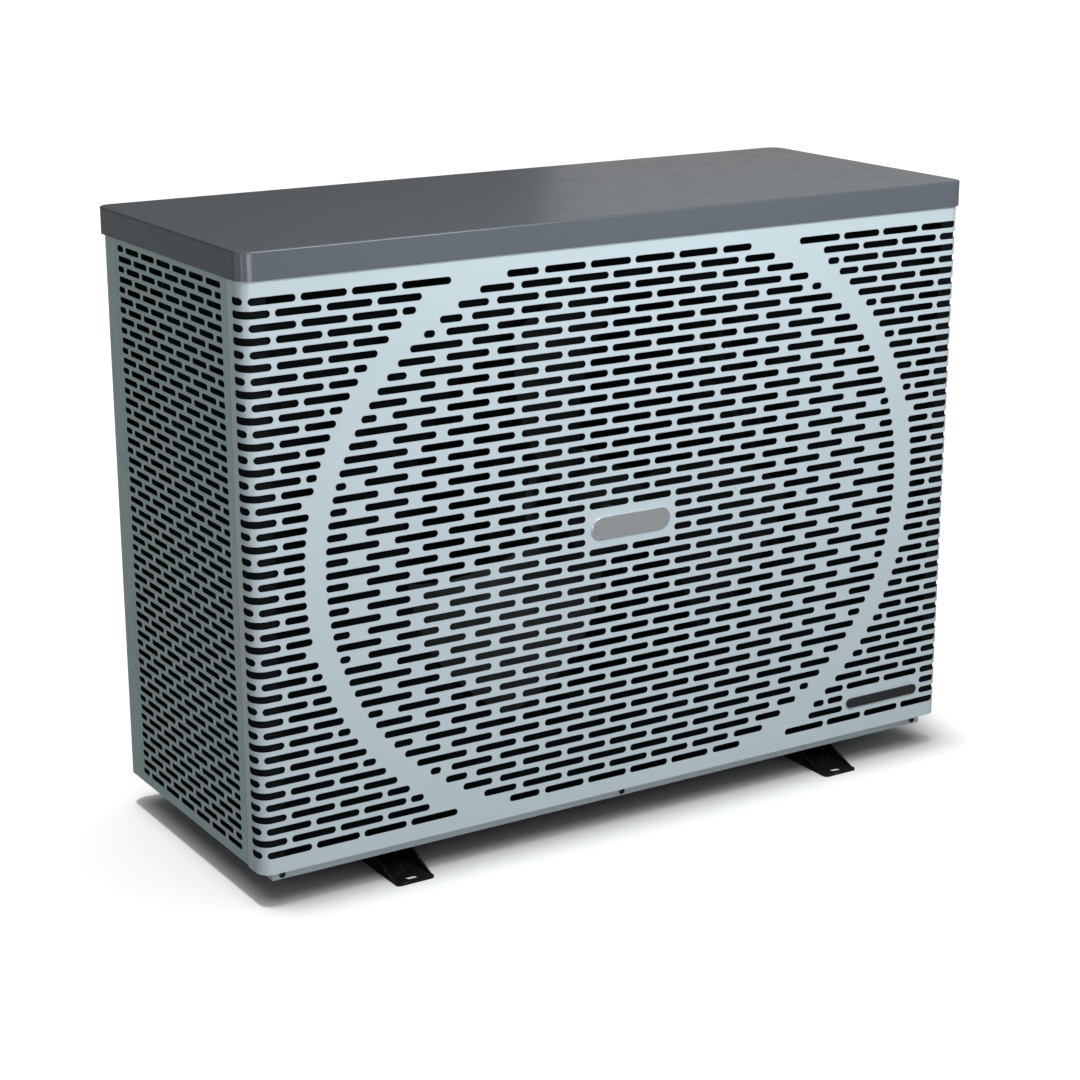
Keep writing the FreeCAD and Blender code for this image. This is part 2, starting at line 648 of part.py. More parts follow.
def side_hole(y, z, radius):
    """A hole in the right side about a place given by two formulas."""
    return round_hole(V(value("body_width / 2"), value(y), value(z)), V(1, 0, 0), radius)


def screw_levels():
    """The three heights of the screws up each side of a panel."""
    low, high = value("side_bottom + screw_inset"), value("panel_top - screw_drop")
    return low, (low + high) / 2, high


def side_screw_spots():
    """Where screws hold the right panel, beside its two seams."""
    across = value("body_width / 2")
    front = value("front_return - body_depth / 2 + seam_inset")
    rear = value("body_depth / 2 - rear_return - seam_inset")
    return [V(across, y, z) for y in (front, rear) for z in screw_levels()]


def rear_screw_spots():
    """Where screws hold the rear panel, up both of its ends."""
    across, face = value("body_width / 2 - screw_inset"), value("body_depth / 2")
    return [V(side * across, face, z) for side in (-1, 1) for z in screw_levels()]


def lid_screw_spots(face):
    """Where screws hold the lid's rear skirt, on a face given by its y."""
    across, level = value("cover_screw_x"), value("overall_height - cover_skirt + cover_screw_rise")
    return [V(x, face, level) for x in (-across, 0, across)]


def right_panel():
    """The service side, pierced for the unions, gauge, gland, service valve and controller."""
    across = value("body_width / 2")
    gap = value("bolt_gap")
    holes = [side_hole("exchanger_y", "inlet_z", value("panel_hole")),
             side_hole("exchanger_y", "outlet_z", value("panel_hole")),
             side_hole("gauge_y", "gauge_z", value("gauge_radius") + gap),
             side_hole("gland_y", "gland_z", value("gland_neck") + gap),
             side_hole("service_y", "service_z", value("service_neck") + gap)]
    holes += [round_hole(spot, V(1, 0, 0), value("screw_hole")) for spot in side_screw_spots()]
    half_width = value("controller_width / 2 - controller_rim") + gap
    half_height = value("controller_height / 2 - controller_rim") + gap
    middle_y, middle_z = value("controller_y"), value("controller_z")
    window = [V(across, middle_y + dy * half_width, middle_z + dz * half_height)
              for dy, dz in ((-1, -1), (1, -1), (1, 1), (-1, 1), (-1, -1))]
    holes.append(Part.makePolygon(window))
    half_louvre = value("louvre_length / 2")
    for row in range(int(value("louvre_rows"))):
        level = middle_z - value("controller_height") - row * value("louvre_row_pitch")
        for side in (-1, 1):
            centre = V(across, middle_y + side * value("louvre_pitch / 2"), level)
            holes.append(slot_wire(centre, half_louvre, value("louvre_half_height"), V(0, 1, 0)))
    side_panel("right_panel", 1, holes)


REAR_WINDOW = ("fin_left + window_left", "fin_right - window_right", "fin_bottom + window_low",
               "fin_top - window_high")


def rear_panel():
    """The back, open over the evaporator, with its corners wrapped round both sides."""
    face = value("body_depth / 2")
    left, right, low, high = (value(text) for text in REAR_WINDOW)
    window = Part.makePolygon([V(left, face, low), V(right, face, low), V(right, face, high),
                               V(left, face, high), V(left, face, low)])
    holes = [window] + [round_hole(spot, V(0, 1, 0), value("screw_hole"))
                        for spot in rear_screw_spots() + lid_screw_spots(face)]
    shape = folded_panel(face, -1, value("rear_return"), value("side_bottom"), holes)
    piece(made("rear_panel", shape), "rear_panel")


def rear_guard():
    """A finger guard of crossing bars over the rear window."""
    left, right, low, high = (value(text) for text in REAR_WINDOW)
    face = value("body_depth / 2") + value("guard_gap")
    columns = round((right - left) / value("guard_mesh_width"))
    rows = round((high - low) / value("guard_mesh_height"))
    step_x, step_z = (right - left) / columns, (high - low) / rows
    half = value("guard_bar") / 2

    def frame(x0, z0, x1, z1):
        return Part.makePolygon([V(x0, face, z0), V(x1, face, z0), V(x1, face, z1),
                                 V(x0, face, z1), V(x0, face, z0)])

    holes = [frame(left + i * step_x + half, low + k * step_z + half,
                   left + (i + 1) * step_x - half, low + (k + 1) * step_z - half)
             for i in range(columns) for k in range(rows)]
    rim = value("guard_rim")
    outline = frame(left - rim, low - rim, right + rim, high + rim)
    shape = pierced(outline, holes).extrude(V(0, value("guard_bar"), 0))
    piece(made("rear_guard", shape), "rear_guard")


def upright_edge(edge):
    return abs(edge.tangentAt(edge.FirstParameter).z) > 0.99


def top_cover():
    """A shallow lid: a plate with a skirt all round, open underneath."""
    body = doc.addObject("PartDesign::Body", "top_cover")
    half = "body_width / 2 + cover_overhang"
    front = "-body_depth / 2 - cover_overhang"
    rear = "body_depth / 2 + cover_rear_overhang"

    corners = [(f"-({half})", front), (half, front), (half, rear), (f"-({half})", rear)]
    outline = polygon(new_sketch(body, "cover_outline", "XY_Plane"), corners)
    pad = add_pad(body, "cover_pad", outline, "cover_skirt")
    turns = add_fillet(body, "cover_corners", pad, "cover_corner", upright_edge)
    brow = add_fillet(body, "cover_brow", turns, "cover_edge",
                      lambda edge: edge.BoundBox.ZMin > value("cover_skirt") - 0.01)
    doc.recompute()
    underside = [f"Face{i}" for i, face in enumerate(brow.Shape.Faces, start=1)
                 if face.BoundBox.ZMax < 0.01]
    shell = body.newObject("PartDesign::Thickness", "cover_shell")
    shell.Base = (brow, underside)
    shell.Reversed = True
    bind(shell, Value="gauge")
    drilling = new_sketch(body, "cover_drilling", "XZ_Plane")
    for across in ("-cover_screw_x", "0", "cover_screw_x"):
        circle(drilling, across, "cover_screw_rise", "screw_hole")
    add_pocket(body, "cover_screw_holes", drilling, "body_depth")
    seat(body, ("0", "0", "overall_height - cover_skirt"))
    piece(body, "top_cover")


# ---------------------------------------------------------------- tray, feet and fasteners
def foot(label, side):
    """A lipped channel that lies on the floor, its ends bare tongues with a slotted hole."""
    body = doc.addObject("PartDesign::Body", label)
    half = "foot_width / 2"
    side_view = [("-foot_tip", "0"), ("foot_tip", "0"), ("foot_tip", "foot_gauge"),
                 ("flange_start", "foot_gauge"), ("flange_knee", "flange_knee_height"),
                 ("flange_top", "pan_bottom"), ("-flange_top", "pan_bottom"),
                 ("-flange_knee", "flange_knee_height"), ("-flange_start", "foot_gauge"),
                 ("-foot_tip", "foot_gauge")]
    sketch = polygon(new_sketch(body, label + "_side", "YZ_Plane"), side_view)
    add_pad(body, label + "_bar", sketch, "foot_width", both_ways=True)
    wall, mouth = f"{half} - foot_gauge", f"{half} - foot_gauge - foot_lip"
    hollow = [(f"-({wall})", "foot_gauge"), (wall, "foot_gauge"),
              (wall, "pan_bottom - foot_gauge"), (mouth, "pan_bottom - foot_gauge"),
              (mouth, "pan_bottom + foot_gauge"), (f"-({mouth})", "pan_bottom + foot_gauge"),
              (f"-({mouth})", "pan_bottom - foot_gauge"),
              (f"-({wall})", "pan_bottom - foot_gauge")]
    sketch = polygon(new_sketch(body, label + "_section", "XZ_Plane"), hollow)
    add_pocket(body, label + "_channel", sketch)
    slots = new_sketch(body, label + "_slots", "XY_Plane")
    noses = [new_sketch(body, f"{label}_slot_noses{end}", "XY_Plane") for end in (0, 1)]
    lip_holes = new_sketch(body, label + "_lip_holes", "XY_Plane")
    flat = "foot_slot_length / 2 - foot_slot_width / 2"
    for place in both_sides("foot_bolt_spacing / 2"):
        low, high = f"{place} - foot_slot_width / 2", f"{place} + foot_slot_width / 2"
        polygon(slots, [(f"-({flat})", low), (flat, low), (flat, high), (f"-({flat})", high)])
        for sketch, across in zip(noses, both_sides(flat)):
            circle(sketch, across, place, "foot_slot_width / 2")
    for place in both_sides("foot_bolt_row"):
        for across in both_sides(f"{wall} - foot_lip / 2"):
            circle(lip_holes, across, place, "bolt_shank + bolt_gap")
    add_pocket(body, label + "_slot_middles", slots)
    for end, sketch in enumerate(noses):
        add_pocket(body, f"{label}_slot_end{end}", sketch)
    last = add_pocket(body, label + "_bolt_holes", lip_holes)
    add_fillet(body, label + "_tips", last, "foot_corner",
               lambda edge: upright_edge(edge)
               and abs(abs(edge.CenterOfMass.y) - value("foot_tip")) < 0.01)
    seat(body, (f"{side} * foot_spacing / 2", "0", "0"))
    piece(body, label)


def rail_bolt_spots():
    """Where the tray is bolted to the lips of both feet."""
    inset = value("foot_width / 2 - foot_gauge - foot_lip / 2")
    row = value("foot_bolt_row")
    return [(side * value("foot_spacing / 2") + lip * inset, end * row)
            for side in (-1, 1) for lip in (-1, 1) for end in (-1, 1)]


def base_pan():
    """A shallow tray that carries everything, drilled for the feet and the drain."""
    half_x, half_y = "pan_half_width", "pan_half_depth"
    outer = block("pan_outside", (f"-{half_x}", f"-{half_y}", "pan_bottom"),
                  (half_x, half_y, "pan_bottom + pan_height"))
    inner = block("pan_inside",
                  (f"pan_gauge - {half_x}", f"pan_gauge - {half_y}", "pan_bottom + pan_gauge"),
                  (f"{half_x} - pan_gauge", f"{half_y} - pan_gauge", "pan_bottom + pan_height * 2"))
    tools = [inner]
    for index, (x, y) in enumerate(rail_bolt_spots()):
        tools.append(rod(f"pan_bolt_hole{index}", (str(x), str(y), "pan_bottom - pan_gauge"),
                         "bolt_shank + bolt_gap", "pan_gauge * 3"))
    for index, across in enumerate(("-lip_screw_x", "0", "lip_screw_x")):
        start = (across, f"-{half_y} - pan_gauge", "lip_screw_z")
        tools.append(rod(f"pan_screw_hole{index}", start, "screw_hole", "pan_gauge * 3", "Y"))
    tools.append(rod("pan_drain_hole", ("drain_x", "drain_y", "pan_bottom - pan_gauge"),
                     "drain_radius + bolt_gap", "pan_gauge * 3"))
    piece(cut("base_pan", outer, tools), "base_pan")


def foot_bolts():
    """Hexagon bolts and nuts that clamp the tray to the feet."""
    head, head_height = value("bolt_head"), value("bolt_head_height")
    floor = value("pan_bottom + pan_gauge")
    nut_top = value("pan_bottom - foot_gauge")
    nut_bottom = nut_top - value("bolt_head_height")
    shape = hexagon(head, head_height).translated(V(0, 0, floor))
    shank = Part.makeCylinder(value("bolt_shank"), floor - nut_bottom, V(0, 0, nut_bottom))
    nut = hexagon(head, head_height).translated(V(0, 0, nut_bottom))
    bolt = shape.fuse([shank, nut])
    piece(copies("foot_rail_bolts", bolt, [(x, y, 0) for x, y in rail_bolt_spots()]),
          "foot_rail_bolts")


def screw_shape(direction):
    """A round-headed screw whose head sits on a face and faces along a direction."""
    height, depth = value("screw_head_height"), value("screw_recess")
    head = Part.makeCylinder(value("screw_head"), height, V(), direction)
    rim = [edge for edge in head.Edges if edge.Curve.TypeId == "Part::GeomCircle"
           and edge.CenterOfMass.dot(direction) > height / 2]
    dome = head.makeFillet(value("screw_round"), rim)
    shank = Part.makeCylinder(value("screw_shank"), value("screw_length"), V(), -direction)
    recess = Part.makeCylinder(value("screw_recess_radius"), depth,
                               direction * (height - depth), direction)
    return dome.fuse(shank).cut(recess)


# ---------------------------------------------------------------- fan side
def fan_bulkhead():
    """The black plate behind the grille, with the bell-mouthed orifice for the fan."""
    gauge, radius = value("gauge"), value("orifice_radius")
    bell, face = value("bell_radius"), value("bulkhead_y")
    half, low, top = value("bulkhead_half_width"), value("bulkhead_bottom"), value("panel_top")
    centre = V(0, face, value("fan_z"))
    outline = Part.makePolygon([V(-half, face, low), V(half, face, low), V(half, face, top),
                                V(-half, face, top), V(-half, face, low)])
    hole = Part.Wire(Part.Circle(centre, V(0, 1, 0), radius + bell).toShape())
    plate = pierced(outline, [hole]).extrude(V(0, gauge, 0))
    end = value("orifice_depth")
    lean = math.sqrt(0.5)

    def spot(outward, back):
        return V(radius + outward, face + back, centre.z)

    outer = bell - gauge
    edges = [Part.makeLine(spot(bell, 0), spot(bell, gauge)),
             Part.Arc(spot(bell, gauge), spot(bell - outer * lean, bell - outer * lean),
                      spot(gauge, bell)).toShape(),
             Part.makeLine(spot(gauge, bell), spot(gauge, end)),
             Part.makeLine(spot(gauge, end), spot(0, end)),
             Part.makeLine(spot(0, end), spot(0, bell)),
             Part.Arc(spot(0, bell), spot(bell - bell * lean, bell - bell * lean),
                      spot(bell, 0)).toShape()]
    ring = Part.Face(Part.Wire(edges)).revolve(centre, V(0, 1, 0), 360)
    piece(made("fan_bulkhead", plate.fuse(ring)), "fan_bulkhead")


def blade_section(radius, chord, pitch, sweep):
    """A thin four-cornered blade section, square to the radius."""
    out = V(math.cos(sweep), math.sin(sweep), 0)
    round_ = V(-math.sin(sweep), math.cos(sweep), 0)
    along = round_ * math.cos(pitch) + V(0, 0, math.sin(pitch))
    across = V(0, 0, math.cos(pitch)) - round_ * math.sin(pitch)
    middle = out * radius
    thick = across * value("blade_gauge / 2")
    lead, trail = middle - along * (chord / 2), middle + along * (chord / 2)
    return Part.makePolygon([lead - thick, trail - thick, trail + thick, lead + thick,
                             lead - thick])


def fan_impeller():
    """Three broad swept blades on a cup-shaped hub; it is made upright and laid along Y."""
    depth, wall, hub = value("hub_depth"), value("hub_wall"), value("hub_radius")
    bore, boss, boss_end = value("shaft_radius"), value("boss_radius"), value("boss_length")
    half_section = [(bore, 0), (hub, 0), (hub, depth), (hub - wall, depth), (hub - wall, wall),
                    (boss, wall), (boss, boss_end), (bore, boss_end), (bore, 0)]
    section = Part.makePolygon([V(x, 0, z) for x, z in half_section])
    cup = Part.Face(section).revolve(V(), V(0, 0, 1), 360)
    tip = value("fan_radius")
    wires = [blade_section(tip * share, chord, math.radians(pitch), math.radians(sweep))
             .translated(V(0, 0, depth / 2)) for share, chord, pitch, sweep in BLADE_SECTIONS]
    swept = Part.makeLoft(wires, True)
    envelope = Part.makeCylinder(tip, depth * 2, V(0, 0, -depth / 2))
    core = Part.makeCylinder(hub - wall / 2, depth * 2, V(0, 0, -depth / 2))
    blade = swept.common(envelope.cut(core))
    count = int(value("blade_count"))
    blades = [blade.rotated(V(), V(0, 0, 1), k * 360 / count) for k in range(count)]
    impeller = made("fan_impeller", cup.fuse(blades), ("0", "hub_front", "fan_z"), "Y")
    piece(impeller, "fan_impeller")


def fan_drive():
    """The motor, its shaft, the nut that holds the impeller, and the rails behind."""
    shaft_start = "hub_front - fan_nut_radius"
    shaft = rod("shaft_bar", ("0", shaft_start, "fan_z"), "shaft_radius",
                "motor_front - hub_front + fan_nut_radius + shaft_in_motor", "Y")
    piece(shaft, "fan_shaft")
    bore = "shaft_radius + shaft_fit"
    nose, blind = "motor_nose_radius", "shaft_in_motor + shaft_end_gap"
    profile = [(bore, "-motor_nose"), (nose, "-motor_nose"), (nose, "0"),
               ("motor_radius", "motor_bevel"), ("motor_radius", "motor_length - motor_bevel"),
               ("motor_cap_radius", "motor_length"), ("0", "motor_length"), ("0", blind),
               (bore, blind)]
    piece(turned("fan_motor", profile, ("0", "motor_front", "fan_z"), "Y"), "fan_motor")
    nut = hexagon(value("fan_nut_radius"), value("fan_nut_height"))
    nut = nut.cut(Part.makeCylinder(value("shaft_radius"), value("fan_nut_radius")))
    place = ("0", "hub_front - fan_nut_height", "fan_z")
    piece(made("fan_nut", nut, place, "Y"), "fan_nut")
    back = "motor_front + motor_length"
    rails = []
    for index, across in enumerate(both_sides("rail_offset")):
        low = (f"{across} - rail_width / 2", back, "pan_bottom + pan_gauge")
        high = (f"{across} + rail_width / 2", f"{back} + rail_depth", "panel_top - rail_gap")
        outer = block(f"rail_outside{index}", low, high)
        low = (f"{across} - rail_width / 2 + rail_gauge", f"{back} + rail_gauge", "pan_bottom")
        high = (f"{across} + rail_width / 2 - rail_gauge", f"{back} + rail_depth * 2", "panel_top")
        rails.append(cut(f"rail{index}", outer, [block(f"rail_inside{index}", low, high)]))
    bridge = block("rail_bridge", ("-rail_offset", back, "fan_z - bridge_half_height"),
                   ("rail_offset", f"{back} + rail_gauge", "fan_z + bridge_half_height"))
    piece(fused("motor_bracket", rails + [bridge]), "motor_bracket")


# ---------------------------------------------------------------- evaporator
def evaporator():
    """The finned block along the back and the left side, its end plates and copper tubes."""
    left, right = value("fin_left"), value("fin_right")
    front, depth, leg = value("fin_front"), value("fin_depth"), value("fin_leg_front")
    rear, bend = front + depth, value("fin_bend")
    low, height = value("fin_bottom"), value("fin_top - fin_bottom")
    lean = math.sqrt(0.5)
    turn = V(left + bend, rear - bend, low)

    def on_bend(radius):
        return turn + V(-radius * lean, radius * lean, 0)

    inner = bend - depth
    edges = [Part.makeLine(V(right, front, low), V(right, rear, low)),
             Part.makeLine(V(right, rear, low), V(left + bend, rear, low)),
             Part.Arc(V(left + bend, rear, low), on_bend(bend), V(left, rear - bend, low)).toShape(),
             Part.makeLine(V(left, rear - bend, low), V(left, leg, low)),
             Part.makeLine(V(left, leg, low), V(left + depth, leg, low)),
             Part.makeLine(V(left + depth, leg, low), V(left + depth, rear - bend, low)),
             Part.Arc(V(left + depth, rear - bend, low), on_bend(inner),
                      V(left + bend, front, low)).toShape(),
             Part.makeLine(V(left + bend, front, low), V(right, front, low))]
    piece(made("evaporator_fins", prism(Part.Wire(edges), V(0, 0, height))), "evaporator_fins")
    bottom, top = "fin_bottom - end_plate_drop", "fin_top + end_plate_lap"
    rear_plate = block("rear_end_plate", ("fin_right", "fin_front - end_plate_lap", bottom),
                       ("fin_right + end_plate", "fin_front + fin_depth + end_plate_lap", top))
    side_plate = block("side_end_plate",
                       ("fin_left - end_plate_lap", "fin_leg_front - end_plate", bottom),
                       ("fin_left + fin_depth + end_plate_lap", "fin_leg_front", top))
    piece(group("evaporator_end_plates", [rear_plate, side_plate]), "evaporator_end_plates")
    radius, tube = value("tube_pitch / 2"), value("tube_radius")
    half_ring = Part.makeTorus(radius, tube, V(), V(0, 0, 1), 0, 360, 180)
    rear_bend = half_ring.rotated(V(), V(0, 0, 1), -90).rotated(V(), V(1, 0, 0), 90)
    side_bend = rear_bend.rotated(V(), V(0, 0, 1), -90)
    shapes = []
    for index in range(int(value("bend_count"))):
        level = value("lowest_bend") + index * value("bend_pitch") + radius
        shapes.append(rear_bend.translated(V(value("fin_right + end_plate"),
                                             front + depth / 2, level)))
        shapes.append(side_bend.translated(V(left + depth / 2,
                                             leg - value("end_plate"), level)))
    piece(made("evaporator_return_bends", Part.makeCompound(shapes)), "evaporator_return_bends")


# ---------------------------------------------------------------- compressor bay
def partition():
    low = ("partition_x", "bulkhead_y + gauge * 2", "pan_bottom + pan_gauge")
    high = ("partition_x + gauge", "partition_rear", "panel_top - partition_gap")
    piece(block("partition", low, high), "partition")


def compressor_spots():
    """The three mounting points on a circle about the compressor."""
    reach = value("grommet_circle")
    return [(value("compressor_x") + reach * math.cos(angle),
             value("compressor_y") + reach * math.sin(angle))
            for angle in (math.radians(90), math.radians(210), math.radians(330))]


def compressor():
    """A welded can on a three-cornered foot plate."""
    body = doc.addObject("PartDesign::Body", "compressor")
    height = "compressor_top - compressor_bottom"
    profile = [("0", "0"), ("compressor_radius", "0"),
               ("compressor_radius", f"{height} - can_bevel"), ("can_cap_radius", height),
               ("0", height)]
    sketch = polygon(new_sketch(body, "can_profile", "XZ_Plane"), profile)
    turn = body.newObject("PartDesign::Revolution", "can_turn")
    turn.Profile = sketch
    turn.ReferenceAxis = (sketch, ["V_Axis"])
    turn.Angle = 360
    corners = []
    for turn_angle in (0, 120, 240):
        for tab in ("foot_tab", "-foot_tab"):
            corners.append((f"{tab} * cos({turn_angle}) - compressor_foot * sin({turn_angle})",
                            f"{tab} * sin({turn_angle}) + compressor_foot * cos({turn_angle})"))
    plate = polygon(new_sketch(body, "foot_outline", "XY_Plane"), corners)
    add_pad(body, "foot_pad", plate, "foot_plate")
    holes = new_sketch(body, "foot_holes", "XY_Plane")
    for turn_angle in (0, 120, 240):
        circle(holes, f"-grommet_circle * sin({turn_angle})",
               f"grommet_circle * cos({turn_angle})", "grommet_hole")
    add_pocket(body, "foot_drilling", holes)
    seat(body, ("compressor_x", "compressor_y", "compressor_bottom"))
    piece(body, "compressor")


def compressor_mounts():
    """Rubber grommets in the foot plate, on studs that stand on the tray."""
    floor, plate = value("pan_bottom + pan_gauge"), value("compressor_bottom")
    outer, waist = value("grommet_radius"), value("grommet_waist")
    bore = value("stud_radius") + value("bolt_gap")
    gap = value("bolt_gap")
    thick = value("foot_plate")
    section = [(bore, floor), (outer, floor), (outer, plate - gap), (waist, plate - gap),
               (waist, plate + thick + gap), (outer, plate + thick + gap),
               (outer, plate + thick + outer), (bore, plate + thick + outer), (bore, floor)]
    ring = Part.Face(Part.makePolygon([V(x, 0, z) for x, z in section]))
    grommet = ring.revolve(V(), V(0, 0, 1), 360)
    spots = [(x, y, 0) for x, y in compressor_spots()]
    piece(copies("compressor_grommets", grommet, spots), "compressor_grommets")
    top = plate + thick + outer
    washer_gauge = value("washer_gauge")
    stud = Part.makeCylinder(value("stud_radius"), top + value("stud_rise") - floor, V(0, 0, floor))
    washer = Part.makeCylinder(value("washer_radius"), washer_gauge, V(0, 0, top))
    nut = hexagon(value("stud_nut_radius"), value("stud_nut_height"))
    nut = nut.translated(V(0, 0, top + washer_gauge))
    piece(copies("compressor_studs", stud.fuse([washer, nut]), spots), "compressor_studs")


def accumulator():
    height = "accumulator_top - accumulator_bottom"
    profile = [("0", "0"), ("accumulator_neck", "0"), ("accumulator_radius", "accumulator_bevel"),
               ("accumulator_radius", f"{height} - accumulator_bevel"),
               ("accumulator_neck", height), ("0", height)]
    place = ("accumulator_x", "accumulator_y", "accumulator_bottom")
    piece(turned("suction_accumulator", profile, place), "suction_accumulator")


def terminal_cover():
    """The moulded cap over the compressor's terminals."""
    low = ("compressor_x - cap_half_width", "compressor_y - compressor_radius - cap_reach",
           "compressor_top - cap_drop - cap_height")
    high = ("compressor_x + cap_half_width", "compressor_y", "compressor_top - cap_drop")
    can = rod("terminal_clearance", ("compressor_x", "compressor_y", "compressor_bottom"),
              "compressor_radius + bolt_gap", "compressor_top")
    piece(cut("terminal_cover", block("terminal_cap", low, high), [can]), "terminal_cover")


def four_way_valve():
    """A brass slide valve lying along Y, with one port above and three below."""
    barrel = rod("valve_barrel", ("valve_x", "valve_y - valve_length / 2", "valve_z"),
                 "valve_radius", "valve_length", "Y")
    stubs = [rod("valve_top_port", ("valve_x", "valve_y", "valve_z"), "top_port_radius",
                 "valve_radius + port_length")]
    for index in (-1, 0, 1):
        start = ("valve_x", f"valve_y + {index} * port_pitch", "valve_z")
        stubs.append(rod(f"valve_port{index + 1}", start, "port_radius",
                         "valve_radius + port_length", "-Z"))
    pilot = rod("valve_pilot", ("valve_x - pilot_offset", "valve_y - pilot_length / 2", "valve_z"),
                "pilot_radius", "pilot_length", "Y")
    neck = block("valve_pilot_neck",
                 ("valve_x - pilot_offset", "valve_y - pilot_neck", "valve_z - pilot_neck"),
                 ("valve_x", "valve_y + pilot_neck", "valve_z + pilot_neck"))
    piece(fused("four_way_valve", [barrel, pilot, neck] + stubs), "four_way_valve")


def expansion_valve():
    """A brass needle valve with its round actuator coil on top."""
    shoulder = "metering_length + actuator_length"
    tip = f"{shoulder} + actuator_cone"
    profile = [("0", "0"), ("metering_radius", "0"), ("metering_radius", "metering_length"),
               ("actuator_radius", "metering_length"), ("actuator_radius", shoulder),
               ("actuator_tip", tip), ("0", tip)]
    place = ("valve_x", "exchanger_y - exchanger_radius - feed_offset",
             "exchanger_bottom + feed_rise")
    valve = turned("expansion_valve", profile, place, rounds=((shoulder, "actuator_round"),))
    piece(valve, "expansion_valve")


def refrigerant_pipes():
    """Copper pipes from part to part; each end meets its fitting face to face."""
    below = "valve_z - valve_radius - port_length"
    above = "valve_z + valve_radius + port_length"
    low_run = f"{below} - suction_drop"
    high_run = f"{above} + discharge_rise"
    bend = value("pipe_bend")
    compressor_head = ("compressor_x", "compressor_y", "compressor_top")
    discharge = [compressor_head, ("compressor_x", "compressor_y", high_run),
                 ("valve_x", "valve_y", high_run), ("valve_x", "valve_y", above)]
    suction = [("valve_x", "valve_y", below), ("valve_x", "valve_y", low_run),
               ("accumulator_x", "accumulator_y", low_run),
               ("accumulator_x", "accumulator_y", "accumulator_top")]
    gas_y, gas_x, gas_run = "valve_y + port_pitch", "valve_x - gas_shift", f"{below} - gas_drop"
    channel = "(box_rear + exchanger_y - exchanger_radius) / 2"
    over = "exchanger_top + gas_rise"
    gas = [("valve_x", gas_y, below), ("valve_x", gas_y, gas_run),
           (gas_x, channel, gas_run), (gas_x, channel, over),
           ("exchanger_x", "exchanger_y", over), ("exchanger_x", "exchanger_y", "exchanger_top")]
    coil_y, coil_run = "valve_y - port_pitch", f"{below} - coil_drop"
    middle = "fin_front + fin_depth / 2"
    coil = [("valve_x", coil_y, below), ("valve_x", coil_y, coil_run),
            ("header_x", coil_y, coil_run), ("header_x", middle, coil_run)]
    feed_y = "exchanger_y - exchanger_radius - feed_offset"
    liquid_run = "exchanger_bottom - liquid_drop"
    liquid = [("exchanger_x", "exchanger_y", "exchanger_bottom"),
              ("exchanger_x", "exchanger_y", liquid_run), ("valve_x", feed_y, liquid_run),
              ("valve_x", feed_y, "exchanger_bottom + feed_rise")]
    runs = [pipe("discharge_pipe", discharge, "discharge_radius", bend),
            pipe("suction_pipe", suction, "suction_radius", bend),
            pipe("gas_pipe", gas, "gas_radius", bend),
            pipe("liquid_pipe", liquid, "liquid_radius", bend)]
    piece(group("refrigerant_pipes", runs), "refrigerant_pipes")
    header = rod("header_bar", ("header_x", middle, "lowest_bend + bend_pitch"),
                 "header_radius", "bend_pitch * (bend_count - 1)")
    branch = pipe("coil_pipe", coil, "gas_radius", bend)
    piece(fused("evaporator_header", [header, branch]), "evaporator_header")


# ---------------------------------------------------------------- water side
def exchanger():
    """The plastic shell in which pool water passes the titanium coil."""
    radius, wall = "exchanger_radius", "exchanger_wall"
    height = "exchanger_top - exchanger_bottom"
    outer = rod("shell_outside", ("exchanger_x", "exchanger_y", "exchanger_bottom"),
                radius, height)
    ports = []
    waterways = []
    for name in ("inlet", "outlet"):
        start = ("exchanger_x", "exchanger_y", f"{name}_z")
        ports.append(rod(f"{name}_port", start, "union_flange - port_wall",
                         f"{radius} + port_reach", "X"))
        waterways.append(rod(f"{name}_way", start, "union_bore", f"{radius} + port_reach * 2", "X"))
    inside = rod("shell_inside", ("exchanger_x", "exchanger_y", f"exchanger_bottom + {wall}"),
                 f"{radius} - {wall}", f"{height} - {wall} * 2")
    shell = fused("shell_solid", [outer] + ports)
    piece(cut("exchanger_shell", shell, [inside] + waterways), "exchanger_shell")
    stand = rod("stand_outside", ("exchanger_x", "exchanger_y", "pan_bottom + pan_gauge"),
                f"{radius} + stand_wall", "exchanger_bottom - pan_bottom - pan_gauge + stand_rim")
    hollow = rod("stand_inside", ("exchanger_x", "exchanger_y", "pan_bottom"),
                 f"{radius} - stand_ledge", "exchanger_bottom")
    seat_ring = rod("stand_seat", ("exchanger_x", "exchanger_y", "exchanger_bottom"),
                    f"{radius} + bolt_gap", "stand_rim * 2")
    gate = block("stand_gate",
                 ("exchanger_x - gate_reach", "exchanger_y - gate_reach", "pan_bottom"),
                 ("exchanger_x + gate_lap", "exchanger_y", "exchanger_bottom + stand_rim * 2"))
    piece(cut("exchanger_stand", stand, [hollow, seat_ring, gate]), "exchanger_stand")


def titanium_coil():
    """The coil inside the shell, drawn as its separate turns."""
    pitch = value("coil_pitch")
    turn = Part.makeTorus(value("coil_radius"), value("coil_tube"))
    first = value("exchanger_bottom + coil_low")
    count = int(value("exchanger_top - coil_high - exchanger_bottom - coil_low") / pitch)
    spots = [(value("exchanger_x"), value("exchanger_y"), first + k * pitch)
             for k in range(count)]
    piece(copies("titanium_coil", turn, spots), "titanium_coil")


def unions():
    """The two water connections: threaded bodies, ring seals and socketed tailpieces."""
    bodies, rings, tails = [], [], []
    for name in ("inlet", "outlet"):
        body, ring, tail = union(name)
        bodies.append(body)
        rings.append(ring)
        tails.append(tail)
        union_nut(name, f"{name}_z")
    piece(group("union_bodies", bodies), "union_bodies")
    piece(group("union_seal_rings", rings), "union_seal_rings")
    piece(group("union_tailpieces", tails), "union_tailpieces")


